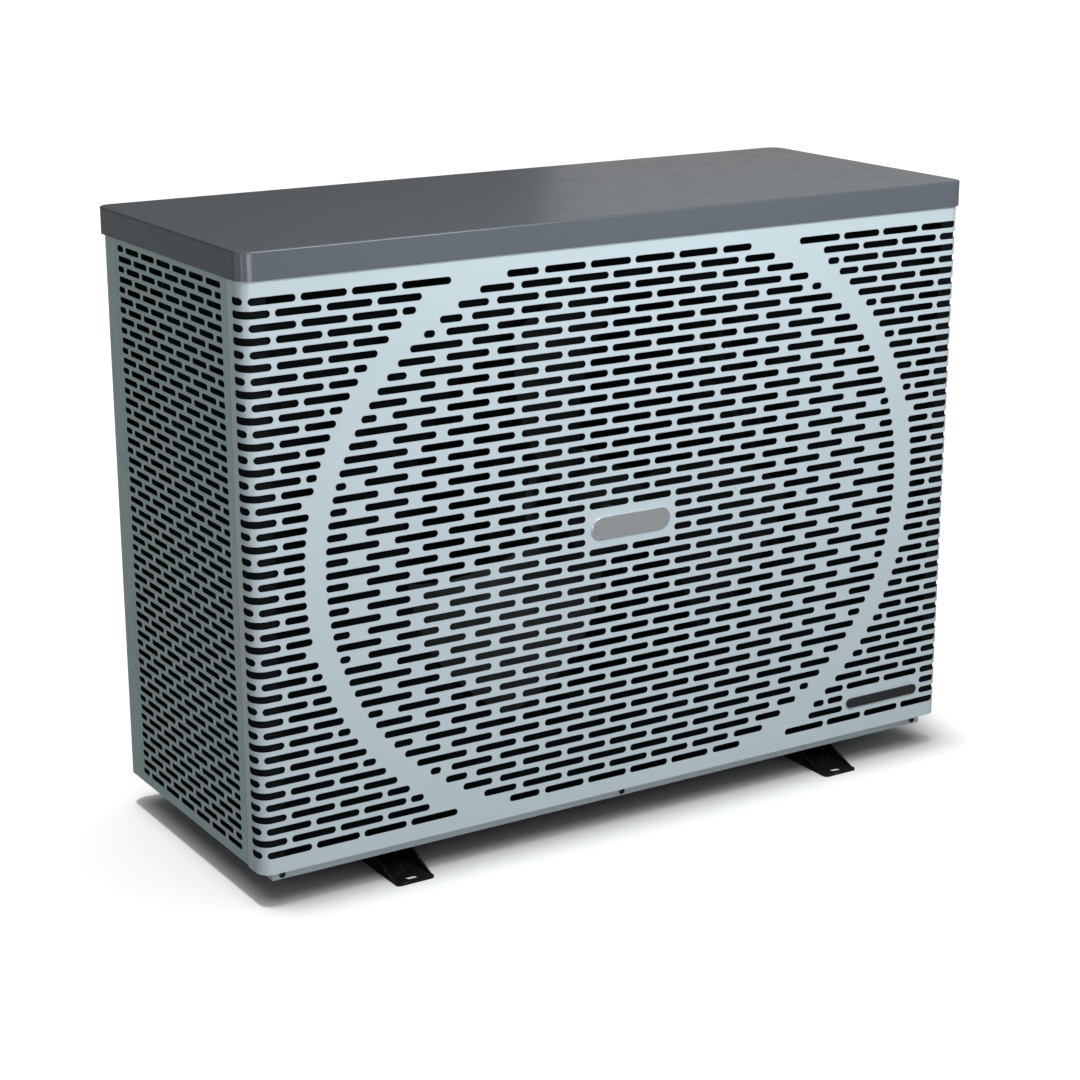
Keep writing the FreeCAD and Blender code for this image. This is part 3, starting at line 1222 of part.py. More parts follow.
def union(name):
    """The still parts of one water connection."""
    level = f"{name}_z"
    start = "exchanger_x + exchanger_radius + port_reach"
    reach = f"union_face - ({start})"
    tube, thread = "union_tube", "union_thread"
    groove_in = "ring_centre - ring_section - ring_gap"
    groove_out = "ring_centre + ring_section + ring_gap"
    root = f"{thread} - thread_depth"
    profile = [("union_bore", "0"), ("union_flange", "0"), ("union_flange", "union_flange_gauge"),
               (tube, "union_flange_gauge"), (tube, f"{reach} - thread_length - thread_taper"),
               (root, f"{reach} - thread_length")]
    for ridges_left in range(int(value("thread_ridges")), 0, -1):
        base = f"{reach} - thread_pitch * {ridges_left}"
        profile += [(root, base), (thread, f"{base} + thread_flank"),
                    (thread, f"{base} + thread_flank + thread_crest"),
                    (root, f"{base} + thread_flank * 2 + thread_crest")]
    profile += [(root, reach), (groove_out, reach), (groove_out, f"{reach} - ring_groove"),
                (groove_in, f"{reach} - ring_groove"), (groove_in, reach), ("union_bore", reach)]
    body = turned(name + "_union", profile, (start, "exchanger_y", level), "X")
    ring = Part.makeTorus(value("ring_centre"), value("ring_section"))
    place = ("union_face - ring_groove + ring_section", "exchanger_y", level)
    seal = made(name + "_seal_ring", ring, place, "X")
    flange = f"{thread} - tail_gap"
    length = "tail_end - union_face - union_gap"
    tail = [("union_bore", "0"), (flange, "0"), (flange, "tail_flange"),
            ("tail_tube", "tail_flange + tail_taper"), ("tail_tube", length),
            ("socket_radius", length),
            ("socket_radius", f"{length} - socket_depth"),
            ("union_bore", f"{length} - socket_depth")]
    place = ("union_face + union_gap", "exchanger_y", level)
    return body, seal, turned(name + "_tailpiece", tail, place, "X")


def union_nut(name, level):
    """The ribbed nut that turns on the thread and draws the tailpiece in."""
    body = doc.addObject("PartDesign::Body", name + "_union_nut")
    length = "nut_end - nut_start"
    inner, mouth = "union_thread + thread_gap", "tail_tube + thread_gap * 2"
    barrel, foot_of_rib = "nut_radius - rib_height", "nut_radius - rib_root"
    profile = [(inner, "0"), (f"{barrel} - nut_bevel", "0"), (barrel, "nut_chamfer"),
               (barrel, f"{length} - nut_chamfer"), (foot_of_rib, length),
               (mouth, length), (mouth, f"{length} - nut_wall"),
               (inner, f"{length} - nut_wall - nut_taper")]
    sketch = polygon(new_sketch(body, f"{name}_nut_profile", "XZ_Plane"), profile)
    turn = body.newObject("PartDesign::Revolution", f"{name}_nut_turn")
    turn.Profile = sketch
    turn.ReferenceAxis = (sketch, ["V_Axis"])
    turn.Angle = 360
    rib = polygon(new_sketch(body, f"{name}_rib_outline", "XY_Plane"),
                  [(foot_of_rib, "-rib_half_width - rib_flare"), ("nut_radius", "-rib_half_width"),
                   ("nut_radius", "rib_half_width"), (foot_of_rib, "rib_half_width + rib_flare")])
    pad = add_pad(body, f"{name}_rib", rib, f"{length} - nut_chamfer * 2")
    ring = body.newObject("PartDesign::PolarPattern", f"{name}_ribs")
    ring.Originals = [pad]
    ring.Axis = (rib, ["N_Axis"])
    ring.Angle = 360
    ring.Occurrences = int(value("nut_ribs"))
    body.Tip = ring
    seat(body, ("nut_start", "exchanger_y", level), "X")
    piece(body, name + "_union_nut")


def flow_switch():
    """A paddle switch that stands out from the front of the inlet's neck."""
    profile = [("0", "0"), ("switch_neck", "0"), ("switch_neck", "switch_neck_length"),
               ("switch_radius", "switch_neck_length"), ("switch_radius", "switch_length"),
               ("0", "switch_length")]
    place = ("switch_x", "exchanger_y - union_flange + port_wall", "inlet_z")
    switch = turned("flow_switch", profile, place, "-Y",
                    rounds=(("switch_length", "switch_round"),))
    piece(switch, "flow_switch")


# ---------------------------------------------------------------- electrics
def electrical_box():
    gauge = "gauge"
    outer = block("box_outside", ("box_left", "box_front", "box_bottom"),
                  ("box_right", "box_rear", "box_top"))
    inner = block("box_inside",
                  (f"box_left + {gauge}", f"box_front + {gauge}", f"box_bottom + {gauge}"),
                  (f"box_right + {gauge}", f"box_rear - {gauge}", f"box_top - {gauge}"))
    tray = cut("box_tray", outer, [inner])
    spots = [(y, z) for y in ("box_front + pillar_inset", "box_rear - pillar_inset")
             for z in ("box_bottom + pillar_low", "box_top - pillar_high")]
    pillars = [rod(f"pillar{index}", ("box_left", y, z), "pillar_radius", "gauge + board_gap", "X")
               for index, (y, z) in enumerate(spots)]
    piece(fused("electrical_box", [tray] + pillars), "electrical_box")
    lid = block("box_lid",
                ("box_right + lid_gap", "box_front - lid_lap", "box_bottom - lid_lap"),
                (f"box_right + lid_gap + {gauge}", "box_rear + lid_lap", "box_top + lid_lap"))
    piece(lid, "electrical_box_lid")


def board_and_parts():
    """The inverter board on pillars, with its capacitors, choke and terminal block."""
    back = "box_left + gauge + board_gap"
    front = f"{back} + board_gauge"
    board = block("board_plate", (back, "box_front + board_inset", "box_bottom + board_low"),
                  (front, "box_rear - board_inset", "box_top - board_high"))
    piece(board, "inverter_board")
    cans = []
    for index in range(int(value("capacitor_count"))):
        start = (front, "box_front + capacitor_inset",
                 f"box_top - capacitor_drop - capacitor_pitch * {index}")
        cans.append(rod(f"capacitor{index}", start, "capacitor_radius", "capacitor_length", "X"))
    piece(group("power_capacitors", cans), "power_capacitors")
    choke = block("choke_core", (front, "box_rear - choke_inset - choke_width",
                                 "box_top - choke_drop - choke_height"),
                  (f"{front} + choke_depth", "box_rear - choke_inset", "box_top - choke_drop"))
    piece(choke, "filter_choke")
    wall, low = "box_left + gauge", "box_bottom + terminal_inset"
    base = block("terminal_base", (wall, "box_front + terminal_inset", low),
                 (f"{wall} + terminal_depth", "box_rear - terminal_inset", f"{low} + terminal_height"))
    count = int(value("terminal_ribs"))
    pitch = f"(box_rear - box_front - terminal_inset * 2 - terminal_rib) / {count - 1}"
    ribs = []
    for index in range(count):
        near = f"box_front + terminal_inset + {index} * {pitch}"
        ribs.append(block(f"terminal_rib{index}", (wall, near, f"{low} + terminal_rib"),
                          (f"{wall} + terminal_rib_depth", f"{near} + terminal_rib",
                           f"{low} + terminal_height - terminal_rib")))
    piece(fused("terminal_block", [base] + ribs), "terminal_block")


def heat_sink():
    """The finned block that cools the inverter in the fan's air."""
    body = doc.addObject("PartDesign::Body", "heat_sink")
    pitch = "(sink_width - sink_fin) / (sink_fins - 1)"
    points = [("0", "0"), ("0", "sink_width"), ("-sink_base", "sink_width")]
    for index in range(int(value("sink_fins"))):
        near = f"sink_width - {index} * {pitch}"
        if index:
            points.append(("-sink_base", near))
        points += [("-sink_depth", near), ("-sink_depth", f"{near} - sink_fin")]
        points.append(("-sink_base", f"{near} - sink_fin"))
    points[-1] = ("-sink_depth", "0")
    points.pop(-2)
    sketch = polygon(new_sketch(body, "comb_outline", "XY_Plane"), points)
    add_pad(body, "comb_pad", sketch, "sink_height")
    seat(body, ("partition_x - bolt_gap", "sink_y", "sink_z"))
    piece(body, "heat_sink")


# ---------------------------------------------------------------- right-side fittings
def controller():
    """A touch display in a rimmed box, under a splash flap hinged along its top edge."""
    half_width, half_height = "controller_width / 2", "controller_height / 2"
    rim = "controller_rim"
    outside = "body_width / 2"
    inner_y, inner_z = f"{half_width} - {rim}", f"{half_height} - {rim}"

    def around(x0, x1, reach_y, reach_z, name):
        low = (x0, f"controller_y - ({reach_y})", f"controller_z - ({reach_z})")
        high = (x1, f"controller_y + ({reach_y})", f"controller_z + ({reach_z})")
        return block(name, low, high)

    back = around("controller_back", outside, inner_y, inner_z, "controller_body")
    face = around(outside, "controller_front", half_width, half_height, "controller_bezel")
    seat_y, seat_z = f"{inner_y} - screen_side", f"{inner_z} - screen_end"
    screen_back = "controller_front - screen_set"
    recess = around(screen_back, "controller_front + screen_set", seat_y, seat_z,
                    "controller_recess")
    inside = around("controller_back + controller_wall", "controller_front - controller_floor",
                    f"{inner_y} - controller_wall", f"{inner_z} - controller_wall",
                    "controller_hollow")
    pin_x = "controller_front + hinge_radius * 2"
    pin_z = f"controller_z + {half_height} - hinge_drop"
    pin_start = (pin_x, f"controller_y - {half_width}", pin_z)
    ears = []
    for index, start in enumerate((f"controller_y - {half_width}",
                                   f"controller_y + {half_width} - ear_width")):
        ears.append(block(f"hinge_ear{index}",
                          ("controller_front - ear_root", start, f"{pin_z} - ear_drop"),
                          (f"{pin_x} + ear_wall", f"{start} + ear_width", f"{pin_z} + ear_rise")))
    holes = rod("ear_bore", pin_start, "hinge_radius", "controller_width", "Y")
    housing = cut("controller_housing", fused("controller_solid", [back, face] + ears),
                  [recess, inside, holes])
    piece(housing, "controller_housing")
    screen = around(screen_back, f"{screen_back} + screen_gauge", f"{seat_y} - screen_gap",
                    f"{seat_z} - screen_gap", "screen_glass")
    piece(screen, "controller_screen")
    pin = rod("flap_pin", pin_start, "hinge_radius", "controller_width", "Y")
    piece(pin, "flap_hinge_pin")
    piece(splash_flap(pin_x, pin_z), "controller_flap")


def splash_flap(pin_x, pin_z):
    """The clear flap, with its bored knuckle about the hinge pin."""
    half_flap = "controller_width / 2 - ear_width - flap_gap"
    near, far = f"controller_y - ({half_flap})", f"controller_y + ({half_flap})"
    low_z = "controller_z - controller_height / 2"
    plate = block("flap_plate", ("flap_front - flap_gauge", near, low_z),
                  ("flap_front", far, f"{pin_z} - web_height + flap_lap"))
    lip = block("flap_lip_bar", ("controller_front + flap_lip_gap", near, low_z),
                ("flap_front", far, f"{low_z} + flap_lip"))
    knuckle = rod("flap_knuckle", (pin_x, near, pin_z), "hinge_radius + knuckle_wall",
                  f"({half_flap}) * 2", "Y")
    web = block("flap_web", (pin_x, near, f"{pin_z} - web_height"), ("flap_front", far, pin_z))
    bore = rod("flap_bore", (pin_x, "controller_y - controller_width / 2", pin_z),
               "hinge_radius + hinge_fit", "controller_width", "Y")
    return cut("controller_flap", fused("flap_solid", [plate, lip, knuckle, web]), [bore])


def pressure_gauge():
    """A round dial on the refrigerant circuit: case with its pivot, needle and lens."""
    outer, bezel = "gauge_radius", "gauge_bezel"
    shoulder, front = "gauge_seat + bolt_gap", "gauge_front + gauge_chamfer"
    case = [("0", "0"), (outer, "0"), (outer, shoulder), (bezel, shoulder),
            (bezel, "gauge_front"), (f"{outer} + gauge_chamfer / 2", front),
            (f"{outer} - gauge_rim", front), (f"{outer} - gauge_rim", "dial_depth"),
            ("pivot_radius", "dial_depth"), ("pivot_radius", "pivot_tip"), ("0", "pivot_tip")]
    place = ("body_width / 2 - gauge_seat", "gauge_y", "gauge_z")
    piece(turned("gauge_case", case, place, "X"), "gauge_case")
    back = "body_width / 2 - needle_set"
    hub = rod("needle_hub", (back, "gauge_y", "gauge_z"), "needle_hub_radius",
              "needle_hub_length", "X")
    flat = f"{back} + (needle_hub_length - needle_gauge) / 2"
    blade = block("needle_blade",
                  (flat, "gauge_y - needle_half_width", "gauge_z - needle_tail"),
                  (f"{flat} + needle_gauge", "gauge_y + needle_half_width",
                   "gauge_z + needle_length"))
    hole = rod("needle_bore", (f"{back} - needle_hub_length", "gauge_y", "gauge_z"),
               "pivot_radius + pivot_fit", "needle_hub_length * 4", "X")
    piece(cut("gauge_needle", fused("needle_solid", [hub, blade]), [hole]), "gauge_needle")
    start = ("body_width / 2 + bolt_gap + lens_set", "gauge_y", "gauge_z")
    lens = rod("gauge_lens", start, f"{outer} - gauge_rim - lens_gap", "lens_gauge", "X")
    piece(lens, "gauge_lens")


def cable_gland():
    """The compression gland that the supply cable would enter by."""
    seat_end = "gland_seat + bolt_gap"
    flange_end = f"{seat_end} + gland_flange_gauge"
    waist_end = f"{flange_end} + gland_waist_length"
    nut_end = f"{waist_end} + gland_nut_length"
    tip = f"{nut_end} + gland_dome"
    profile = [("gland_bore", "0"), ("gland_neck", "0"), ("gland_neck", seat_end),
               ("gland_flange", seat_end), ("gland_flange", flange_end),
               ("gland_waist", flange_end), ("gland_waist", waist_end), ("gland_nut", waist_end),
               ("gland_nut", nut_end), ("gland_mouth", tip), ("gland_bore", tip)]
    place = ("body_width / 2 - gland_seat", "gland_y", "gland_z")
    piece(turned("cable_gland", profile, place, "X"), "cable_gland")


def service_valve():
    """The refrigerant charging port and its cap."""
    seat_end = "service_seat + bolt_gap"
    flange_end = f"{seat_end} + service_flange_gauge"
    stem_end = f"{flange_end} + service_stem_length"
    profile = [("0", "0"), ("service_neck", "0"), ("service_neck", seat_end),
               ("service_flange", seat_end), ("service_flange", flange_end),
               ("service_stem", flange_end), ("service_stem", stem_end), ("0", stem_end)]
    place = ("body_width / 2 - service_seat", "service_y", "service_z")
    piece(turned("service_valve", profile, place, "X"), "service_valve")
    bore, outer, length = "service_stem + bolt_gap", "service_cap_radius", "service_cap_length"
    floor = f"{length} - service_cap_wall"
    cap = [(bore, "0"), (outer, "0"), (outer, f"{length} - service_cap_bevel"),
           (f"{outer} - service_cap_bevel", length), ("0", length), ("0", floor), (bore, floor)]
    place = (f"body_width / 2 + ({flange_end}) - service_seat + service_cap_gap",
             "service_y", "service_z")
    piece(turned("service_valve_cap", cap, place, "X"), "service_valve_cap")


def drain_nozzle():
    """The spigot under the tray that carries condensate away."""
    outer, inner = "drain_radius", "drain_radius - drain_wall"
    flange_end = "drain_tail + drain_flange_gauge"
    length = f"{flange_end} + drain_neck"
    profile = [(inner, "0"), (outer, "0"), (outer, "drain_tail"),
               (f"{outer} + drain_flange", "drain_tail"), (f"{outer} + drain_flange", flange_end),
               (outer, flange_end), (outer, length), (inner, length)]
    place = ("drain_x", "drain_y", f"pan_bottom - bolt_gap - ({flange_end})")
    piece(turned("drain_nozzle", profile, place), "drain_nozzle")


def badges():
    """Two blank plates: a satin one in the middle of the grille, a black one low on the right."""
    face = value("-body_depth / 2")
    middle = value("top_row - row_pitch") - value("row_pitch") * (value("front_rows") // 2 - 1)
    for name, across, level, long, high in (
            ("badge_plate", 0, middle, value("badge_length"), value("badge_height")),
            ("model_plate", value("plate_centre"), value("plate_z"), value("plate_length"),
             value("plate_height"))):
        wire = slot_wire(V(across, face, level), long / 2, high / 2, V(1, 0, 0))
        plate = prism(wire, V(0, -value("badge_gauge"), 0))
        front = [edge for edge in plate.Edges
                 if abs(edge.CenterOfMass.y - face + value("badge_gauge")) < 0.01]
        piece(made(name, plate.makeFillet(value("badge_round"), front)), name)


def panel_screws():
    """The like screws that hold the tray's front lip, the side and rear panels and the lid."""
    lip = value("lip_screw_x")
    skirt = value("body_depth / 2 + cover_rear_overhang")
    faces = {
        (0, -1, 0): [V(x, value("-pan_half_depth"), value("lip_screw_z")) for x in (-lip, 0, lip)],
        (1, 0, 0): side_screw_spots(),
        (0, 1, 0): rear_screw_spots() + lid_screw_spots(skirt),
    }
    shapes = []
    for direction, spots in faces.items():
        screw = screw_shape(V(*direction))
        shapes += [screw.translated(spot) for spot in spots]
    piece(made("panel_screws", Part.makeCompound(shapes)), "panel_screws")


def main():
    front_panel()
    corner_posts()
    left_panel()
    right_panel()
    rear_panel()
    rear_guard()
    top_cover()
    foot("foot_left", -1)
    foot("foot_right", 1)
    base_pan()
    foot_bolts()
    fan_bulkhead()
    fan_impeller()
    fan_drive()
    evaporator()
    partition()
    compressor()
    compressor_mounts()
    accumulator()
    terminal_cover()
    four_way_valve()
    expansion_valve()
    refrigerant_pipes()
    exchanger()
    titanium_coil()
    unions()
    flow_switch()
    electrical_box()
    board_and_parts()
    heat_sink()
    controller()
    pressure_gauge()
    cable_gland()
    service_valve()
    drain_nozzle()
    badges()
    panel_screws()
    write_parts()


def write_parts():
    """Check every object and every piece, then write one STEP file for each piece."""
    doc.recompute()
    failed = [item.Name for item in doc.Objects if {"Invalid", "Error"} & set(item.State)]
    failed += [item.Label for item in nodes if item.Shape.isNull() or not item.Shape.isValid()]
    if failed:
        raise RuntimeError("failed: " + ", ".join(failed))
    os.makedirs("parts", exist_ok=True)
    for item in nodes:
        item.Shape.exportStep(os.path.join("parts", item.Label + ".step"))
        print(item.Label, len(item.Shape.Solids), round(item.Shape.Volume))
    print(len(nodes), "pieces")


main()
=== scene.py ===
import json
import math

import bpy
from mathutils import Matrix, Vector


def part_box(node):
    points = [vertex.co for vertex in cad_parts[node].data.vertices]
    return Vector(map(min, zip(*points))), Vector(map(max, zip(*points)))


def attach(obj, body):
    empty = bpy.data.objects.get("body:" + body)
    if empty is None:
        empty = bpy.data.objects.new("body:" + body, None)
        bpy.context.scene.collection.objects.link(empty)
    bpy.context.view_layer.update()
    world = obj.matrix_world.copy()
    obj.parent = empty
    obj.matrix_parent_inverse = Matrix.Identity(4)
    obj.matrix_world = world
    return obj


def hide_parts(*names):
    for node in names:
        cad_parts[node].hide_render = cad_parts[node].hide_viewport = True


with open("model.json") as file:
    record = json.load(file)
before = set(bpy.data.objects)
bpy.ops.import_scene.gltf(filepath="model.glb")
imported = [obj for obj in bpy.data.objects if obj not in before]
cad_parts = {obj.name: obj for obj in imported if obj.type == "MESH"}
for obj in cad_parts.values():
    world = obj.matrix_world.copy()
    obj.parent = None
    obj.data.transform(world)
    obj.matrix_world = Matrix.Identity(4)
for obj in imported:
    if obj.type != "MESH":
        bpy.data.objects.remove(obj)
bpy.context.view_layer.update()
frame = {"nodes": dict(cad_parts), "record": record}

MM = 0.001
CASING = "casing"


# ---------------------------------------------------------------- camera, floor and light
CAMERA_PLACE = (-1.696, -2.697, 1.282)
CAMERA_TILT = 73.2335
CAMERA_TURN = -32.2105
CAMERA_LENS = 80.69
CAMERA_SENSOR = 36
CAMERA_SHIFT = (-0.0068, 0.0096)
CAMERA_REACH = 200

# The studio's glow: where it is brightest, the cosines of the turn from there between which it
# rises, its weakest and strongest light, and its tint.
GLOW_TOWARD = (0.70, -0.30, 0.65)
GLOW_FADE = (-0.8, 0.9)
GLOW_STRENGTH = (0.05, 0.22)
GLOW_TINT = (0.95, 0.98, 1.0)

COOL = (0.91, 0.97, 1.0)
SOFTBOXES = (
    # name, place, target, width and height, power, colour
    ("key", (0.2, -1.45, 1.75), (0.05, -0.2, 0.78), (1.0, 0.8), 30, COOL),
    ("low_front", (-0.9, -3.2, 0.5), (0.0, -0.2, 0.4), (1.6, 0.8), 24, COOL),
    ("fill", (-3.4, 0.4, 0.9), (-0.54, 0, 0.4), (1.6, 1.6), 6, (0.88, 1.0, 0.99)),
    ("rim", (3.5, 2.7, 1.6), (0.4, 0.1, 0.8), (3.2, 1.5), 4.2, (1.0, 0.99, 0.98)),
    ("above", (-0.3, 0.6, 2.6), (-0.3, 0.1, 0.8), (1.2, 1.2), 6, (0.93, 0.96, 1.0)),
    ("behind", (0.35, 3.0, 0.4), (0.1, 0.2, 0.4), (1.6, 0.7), 12, (1, 1, 1)),
    ("edge", (-3.1, -1.75, 0.5), (-0.54, -0.2, 0.6), (0.16, 2.0), 11, (0.97, 1.0, 1.0)),
)
FLOOR_LIGHTS = (
    # name, strength, spread of its rays in degrees, lean about X and Y in degrees
    ("overhead", 1.75, 6, (-1.4, -1.7)),
    ("overhead_soft", 1.35, 70, (0, 0)),
)
FLOOR_REACH = 30.0


def add_camera():
    """The camera, which sees the front, the left side and the lid."""
    camera = bpy.data.cameras.new("camera")
    camera.lens = CAMERA_LENS
    camera.sensor_width = CAMERA_SENSOR
    camera.shift_x, camera.shift_y = CAMERA_SHIFT
    camera.clip_end = CAMERA_REACH
    holder = bpy.data.objects.new("camera", camera)
    holder.location = CAMERA_PLACE
    holder.rotation_euler = (math.radians(CAMERA_TILT), 0, math.radians(CAMERA_TURN))
    bpy.context.scene.collection.objects.link(holder)
    bpy.context.scene.camera = holder


def add_softbox(receivers, name, place, target, size, power, colour):
    """A softbox that lights only its receivers, and that the camera can't see."""
    light = bpy.data.lights.new(name, "AREA")
    light.shape = "RECTANGLE"
    light.size, light.size_y = size
    light.energy = power
    light.color = colour
    holder = bpy.data.objects.new(name, light)
    holder.location = place
    aim = Vector(target) - Vector(place)
    holder.rotation_euler = aim.to_track_quat("-Z", "Y").to_euler()
    holder.visible_camera = False
    holder.light_linking.receiver_collection = receivers
    bpy.context.scene.collection.objects.link(holder)


def add_world():
    """A studio that the camera sees as plain white, and that lights most from the upper right."""
    world = bpy.data.worlds.new("studio")
    bpy.context.scene.world = world
    world.use_nodes = True
    nodes, links = world.node_tree.nodes, world.node_tree.links
    nodes.clear()
    place = nodes.new("ShaderNodeTexCoord")
    toward = nodes.new("ShaderNodeVectorMath")
    toward.operation = "DOT_PRODUCT"
    toward.inputs[1].default_value = Vector(GLOW_TOWARD).normalized()
    spread = nodes.new("ShaderNodeMapRange")
    spread.interpolation_type = "SMOOTHSTEP"
    spread.inputs["From Min"].default_value, spread.inputs["From Max"].default_value = GLOW_FADE
    spread.inputs["To Min"].default_value, spread.inputs["To Max"].default_value = GLOW_STRENGTH
    glow = nodes.new("ShaderNodeBackground")
    glow.inputs["Color"].default_value = (*GLOW_TINT, 1)
    white = nodes.new("ShaderNodeBackground")
    white.inputs["Color"].default_value = (1, 1, 1, 1)
    seen = nodes.new("ShaderNodeLightPath")
    blend = nodes.new("ShaderNodeMixShader")
    output = nodes.new("ShaderNodeOutputWorld")
    links.new(place.outputs["Generated"], toward.inputs[0])
    links.new(toward.outputs["Value"], spread.inputs["Value"])
    links.new(spread.outputs["Result"], glow.inputs["Strength"])
    links.new(seen.outputs["Is Camera Ray"], blend.inputs["Fac"])
    links.new(glow.outputs["Background"], blend.inputs[1])
    links.new(white.outputs["Background"], blend.inputs[2])
    links.new(blend.outputs["Shader"], output.inputs["Surface"])


def add_floor_light(receivers, name, strength, spread, lean):
    """Light from above on the floor, which lays the shadow under the machine.

    Its lean makes the shadow slide out a little from under the machine.
    """
    sun = bpy.data.lights.new(name, "SUN")
    sun.energy = strength
    sun.angle = math.radians(spread)
    holder = bpy.data.objects.new(name, sun)
    holder.rotation_euler = (math.radians(lean[0]), math.radians(lean[1]), 0)
    holder.light_linking.receiver_collection = receivers
    bpy.context.scene.collection.objects.link(holder)


# ---------------------------------------------------------------- materials
FRONT_TONE = (0.53, 0.60, 0.63)
FRONT_ROUGHNESS = 0.36
# Painted shade: the dead black that stands in for the dark inside of the casing, and its
# roughness.
SHADE_BLACK = (0.003, 0.0035, 0.004)
SHADE_BLACK_ROUGHNESS = 0.85
PANEL_CORNER = 17.1 * MM
PANEL_GAUGE = 1.2 * MM
TRAY_GAUGE = 2 * MM
SCUFF_HEIGHT = 20 * MM

# Where the paint gives way to the dead black painted inside as shade, as shares of the sheet's
# gauge: inwards from a wall's outer face, and upwards from the tray's underside.
WALL_FADE = (0.5, 0.2)
UNDERSIDE_FADE = (0.3, 0.8)

# The Mix node's own numbers for its two colour inputs and its colour output.
COLOUR_A, COLOUR_B, COLOUR_RESULT = 6, 7, 2


class Look:
    """A material being made: its shader, and short calls that add and wire nodes."""

    def __init__(self, name, colour, roughness, metallic=0.0, **constants):
        self.material = bpy.data.materials.new(name)
        self.material.use_nodes = True
        self.nodes = self.material.node_tree.nodes
        self.links = self.material.node_tree.links
        self.shader = self.nodes["Principled BSDF"]
        self.shader.inputs["Base Color"].default_value = (*colour, 1)
        self.shader.inputs["Roughness"].default_value = roughness
        self.shader.inputs["Metallic"].default_value = metallic
        for socket, number in constants.items():
            self.shader.inputs[socket.replace("_", " ")].default_value = number
        self.place = self.nodes.new("ShaderNodeTexCoord").outputs["Object"]
        self.normal = None

    def stretched(self, x, y, z):
        """Object coordinates scaled unevenly, for brushed and grained surfaces."""
        mapping = self.nodes.new("ShaderNodeMapping")
        mapping.inputs["Scale"].default_value = (x, y, z)
        self.links.new(self.place, mapping.inputs["Vector"])
        return mapping.outputs["Vector"]

    def noise(self, scale, detail=3.0, place=None):
        """Cloudy noise from 0 to 1, finer with a larger scale."""
        node = self.nodes.new("ShaderNodeTexNoise")
        node.inputs["Scale"].default_value = scale
        node.inputs["Detail"].default_value = detail
        self.links.new(place or self.place, node.inputs["Vector"])
        return node.outputs["Fac"]

    def cells(self, scale, output="Distance", place=None):
        """A pattern of irregular cells: the distance to their middles, or a tone for each."""
        node = self.nodes.new("ShaderNodeTexVoronoi")
        node.inputs["Scale"].default_value = scale
        self.links.new(place or self.place, node.inputs["Vector"])
        return node.outputs[output]

    def axis(self, name):
        """One object coordinate, in metres."""
        node = self.nodes.new("ShaderNodeSeparateXYZ")
        self.links.new(self.place, node.inputs["Vector"])
        return node.outputs[name]

    def vector(self, operation, source, other=(0, 0, 0)):
        """One step of vector arithmetic."""
        node = self.nodes.new("ShaderNodeVectorMath")
        node.operation = operation
        self.links.new(source, node.inputs[0])
        node.inputs[1].default_value = other
        return node.outputs["Value" if operation == "LENGTH" else "Vector"]

    def inner_side(self, reach, corner, gauge):
        """1 within the sheet of a round-cornered box about the Z axis, 0 on its outer face."""
        flat = (reach[0] - corner, reach[1] - corner, 0)
        beyond = self.vector("SUBTRACT", self.vector("ABSOLUTE", self.place), flat)
        beyond = self.vector("MULTIPLY", self.vector("MAXIMUM", beyond), (1, 1, 0))
        distance = self.vector("LENGTH", beyond)
        deeper, nearer = (corner - share * gauge for share in WALL_FADE)
        return self.spread(distance, deeper, nearer, 1, 0)

    def blacken(self, mask):
        """Paint shade: turn the paint dead black where a mask is 1."""
        painted = self.shader.inputs["Base Color"].links[0].from_socket
        polish = self.shader.inputs["Roughness"].links[0].from_socket
        self.paint(self.colours(mask, painted, SHADE_BLACK))
        self.rough(self.mixed(mask, polish, SHADE_BLACK_ROUGHNESS))

    def spread(self, source, low, high, start, end):
        """Carry a value from one range smoothly to another."""
        node = self.nodes.new("ShaderNodeMapRange")
        node.interpolation_type = "SMOOTHSTEP"
        for socket, number in (("From Min", low), ("From Max", high),
                               ("To Min", start), ("To Max", end)):
            node.inputs[socket].default_value = number
        self.links.new(source, node.inputs["Value"])
        return node.outputs["Result"]

    def product(self, first, second):
        """Two values multiplied."""
        node = self.nodes.new("ShaderNodeMath")
        node.operation = "MULTIPLY"
        self.links.new(first, node.inputs[0])
        self.links.new(second, node.inputs[1])
        return node.outputs["Value"]

    def mixed(self, factor, first, second):
        """Blend a value from a socket into a plain number by a factor."""
        node = self.nodes.new("ShaderNodeMix")
        self.links.new(factor, node.inputs["Factor"])
        self.links.new(first, node.inputs["A"])
        node.inputs["B"].default_value = second
        return node.outputs["Result"]

    def colours(self, factor, first, second):
        """Blend two colours, or a colour and an earlier blend, by a factor."""
        node = self.nodes.new("ShaderNodeMix")
        node.data_type = "RGBA"
        self.links.new(factor, node.inputs["Factor"])
        for index, colour in ((COLOUR_A, first), (COLOUR_B, second)):
            if isinstance(colour, tuple):
                node.inputs[index].default_value = (*colour, 1)
            else:
                self.links.new(colour, node.inputs[index])
        return node.outputs[COLOUR_RESULT]

    def paint(self, colour):
        self.links.new(colour, self.shader.inputs["Base Color"])

    def rough(self, source):
        self.links.new(source, self.shader.inputs["Roughness"])

    def gloss(self, source, smooth, dull, low=0.3, high=0.7):
        """Let the roughness wander between two values as a pattern goes from low to high."""
        self.rough(self.spread(source, low, high, smooth, dull))

    def bump(self, height, depth, strength=1.0):
        """Add relief of a depth in metres on top of any relief already there."""
        node = self.nodes.new("ShaderNodeBump")
        node.inputs["Strength"].default_value = strength
        node.inputs["Distance"].default_value = depth
        self.links.new(height, node.inputs["Height"])
        if self.normal:
            self.links.new(self.normal, node.inputs["Normal"])
        self.normal = node.outputs["Normal"]
        self.links.new(self.normal, self.shader.inputs["Normal"])


